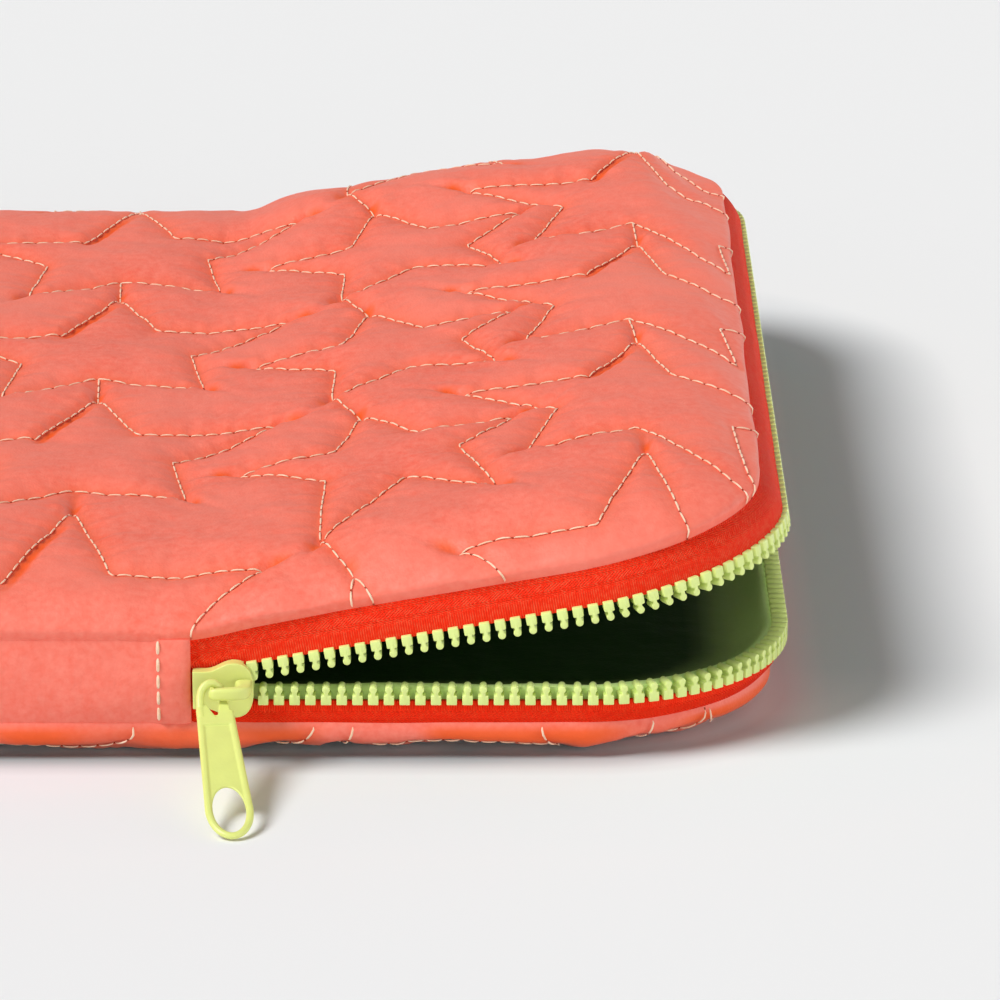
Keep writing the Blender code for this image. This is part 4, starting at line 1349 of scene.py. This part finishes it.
def pull_mesh():
    end = [(-RIM_HALVES[0] * math.cos(angle), -HOLE_AT - RIM_HALVES[1] * math.sin(angle))
           for angle in np.linspace(0, math.pi, 25)]
    rim = [(-2.2, 0.3), (-2.22, -1.0), *end, (2.18, -1.0), (2.1, -0.3)]
    rim, rim_faces = from_curve([[(x, y, 0.0) for x, y in rim]], False, 0.0, RIM_RADIUS)
    rim[:, 2] *= RIM_HEIGHT_SHARE
    hole = [(HOLE_HALVES[0] * c, -HOLE_AT + HOLE_HALVES[1] * s) for c, s in circle(48)]
    plate = from_curve([[(-2.2, -1.0), *end, (2.2, -1.0)], hole], True, *PLATE)
    neck = from_curve([NECK_OUTLINE], True, *NECK)
    parts = [(on_plate(points), faces) for points, faces in ((rim, rim_faces), plate, neck)]
    over = [SLIDER_TAIL + (along, -out, up) for along, out, up in LOOP_OVER]
    loop = cut_corners(np.vstack((on_plate(LOOP_LEFT), over, on_plate(LOOP_RIGHT))), 3)
    parts.append(from_curve([loop], False, 0.0, LOOP_RADIUS))
    return joined(parts)


def bridge_mesh():
    """The arch the pull hangs on: a thick bar, its far end spreading into the slider's nose."""
    stations = cut_corners(BRIDGE, 2)
    points = []
    for index, (along, out, up, high, thick) in enumerate(stations):
        before, after = stations[max(index - 1, 0)], stations[min(index + 1, len(stations) - 1)]
        run = np.array([after[0] - before[0], after[1] - before[1]])
        run /= np.linalg.norm(run)
        for c, s in circle(BRIDGE_SIDES):
            side = thick * math.copysign(abs(c) ** BRIDGE_SQUARENESS, c)
            rise = high * math.copysign(abs(s) ** BRIDGE_SQUARENESS, s)
            spot = (along - run[1] * side, -(out + run[0] * side), up + rise)
            points.append(SLIDER_TAIL + spot)
    return joined([(np.array(points), tube_faces(len(stations), BRIDGE_SIDES))])


quilt_top = make_quilt_top()
quilt_bottom = make_quilt_bottom()
thread_top, pits_top = make_thread("top", TOP_QUILTING, top_height, 1, lean_at)
thread_bottom, pits_bottom = make_thread("bottom", BASE_QUILTING, bottom_height, -1, low_lean_at)
make_tapes()
make_teeth()
make_band()
lining_bottom = make_lining_bottom()
lining_top = make_lining_top()
make_lining_side()
moulded("slider_moulding", "slider_body", 0.09, 5, "slider", LIME)
moulded("bridge_moulding", "slider_bridge", 0.08, 3, "slider", LIME, bridge_mesh())
moulded("pull_moulding", "pull_tab", 0.09, 3, "pull", LIME, pull_mesh())
for stop, body in (("bottom_stop", "base"), ("lower_top_stop", "base"), ("upper_top_stop", "flap")):
    moulded(stop + "_moulding", stop, 0.12, 3, body, LIME_TEETH)

for item in (quilt_top, thread_top, pits_top, lining_top):
    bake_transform(item)
for item in (quilt_bottom, thread_bottom, pits_bottom):
    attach(item, "base")

# Floor
FLOOR_HALF = 6.0
PAPER = (0.872, 0.872, 0.872)
SIDE_SHADE = ((0.52, 0.68, 0.71), (0.67, 0.69, 0.71))
# The paper's colours along the front, from under the sleeve outwards, as shares of the shade
SHADE_FROM = -0.0105
SHADE_TO = 0.0395
SHADE_STOPS = ((0.0, (0.52, 0.80, 0.84)), (0.12, (0.46, 0.72, 0.76)), (0.175, (0.30, 0.36, 0.37)),
               (0.23, (0.44, 0.50, 0.515)), (0.286, (0.67, 0.735, 0.76)), (0.342, (0.79, 0.85, 0.875)),
               (0.45, (0.82, 0.858, 0.875)), (1.0, (0.868, 0.870, 0.873)))


def outside_by(tree, place):
    """How far a place on the floor lies outside the sleeve's footprint, in metres."""
    squares = []
    for axis, half in (("X", HALF_X), ("Y", HALF_Y)):
        past = calc(tree, "ABSOLUTE", place.outputs[axis])
        past = calc(tree, "MAXIMUM", calc(tree, "SUBTRACT", past, (half - CORNER) * MM), 0.0)
        squares.append(calc(tree, "POWER", past, 2.0))
    reach = calc(tree, "POWER", calc(tree, "ADD", *squares), 0.5)
    return calc(tree, "SUBTRACT", reach, CORNER * MM)


def paper_material():
    """Paper in soft shade close to the sleeve, most of all along its front."""
    material, tree, shader = new_material("paper", (0.88, 0.88, 0.88), 0.9)
    place = node(tree, "ShaderNodeSeparateXYZ", {"Vector": place_in(tree)})
    x, y = place.outputs["X"], place.outputs["Y"]
    away = outside_by(tree, place)
    shade = node(tree, "ShaderNodeValToRGB", {"Fac": ramp(tree, away, SHADE_FROM, SHADE_TO)})
    elements = shade.color_ramp.elements
    for index, (share, colour) in enumerate(SHADE_STOPS):
        element = elements[index] if index < 2 else elements.new(share)
        element.position = share
        element.color = (*colour, 1.0)
    in_front = calc(tree, "SUBTRACT", 1.0, ramp(tree, y, -0.100, -0.070))
    strength = calc(tree, "SUBTRACT", in_front, product(tree, ramp(tree, x, 0.095, 0.135), 0.45))
    strength = calc(tree, "MAXIMUM", strength, 0.30)
    tone = mix_colour(tree, strength, PAPER, shade.outputs["Color"])
    beside = calc(tree, "SUBTRACT", 1.0, ramp(tree, away, 0.016, 0.036))
    beside = product(tree, beside, ramp(tree, x, 0.138, 0.150), ramp(tree, y, -0.108, -0.072))
    side_tone = mix_colour(tree, ramp(tree, away, 0.002, 0.015), *SIDE_SHADE)
    tone = mix_colour(tree, beside, tone, side_tone)
    feed(tree, shader, {"Base Color": tone, "Specular IOR Level": 0.1})
    return material


floor_mesh = bpy.data.meshes.new("floor")
floor_corners = [(x * FLOOR_HALF, y * FLOOR_HALF, 0.0) for x, y in ((-1, -1), (1, -1), (1, 1), (-1, 1))]
floor_mesh.from_pydata(floor_corners, [], [(0, 1, 2, 3)])
floor_mesh.materials.append(paper_material())
floor = in_scene("floor", floor_mesh)

# Sky: bright low down in front and on the right, with a sun high up on the front left
SKY_LEAST = 0.18
SUN_STRENGTH = 2.82
SUN_SPREAD = math.radians(24.0)
SUN_TOWARDS = (0.61, 0.19, -0.74)

world = bpy.data.worlds.new("studio")
bpy.context.scene.world = world
world.use_nodes = True
sky_tree = world.node_tree
heading = node(sky_tree, "ShaderNodeTexCoord", {}).outputs["Generated"]
split = node(sky_tree, "ShaderNodeSeparateXYZ", {"Vector": heading})
height_up = calc(sky_tree, "ABSOLUTE", split.outputs["Z"])
near_level = ramp(sky_tree, height_up, 0.55, 0.12, 0.0, 1.0, "SMOOTHSTEP")
from_front = ramp(sky_tree, split.outputs["Y"], 0.05, -0.75, 0.0, 1.10, "SMOOTHSTEP")
from_right = ramp(sky_tree, split.outputs["X"], 0.05, 0.75, 0.0, 2.0, "SMOOTHSTEP")
level = product(sky_tree, near_level, calc(sky_tree, "ADD", from_front, from_right))
sky = sky_tree.nodes["Background"]
sky.inputs["Strength"].default_value = 1.0
sky_tree.links.new(calc(sky_tree, "ADD", level, SKY_LEAST), sky.inputs["Color"])

sun = bpy.data.lights.new("key", "SUN")
sun.energy = SUN_STRENGTH
sun.angle = SUN_SPREAD
lamp = in_scene("key", sun)
lamp.rotation_euler = Vector(SUN_TOWARDS).to_track_quat("-Z", "Y").to_euler()
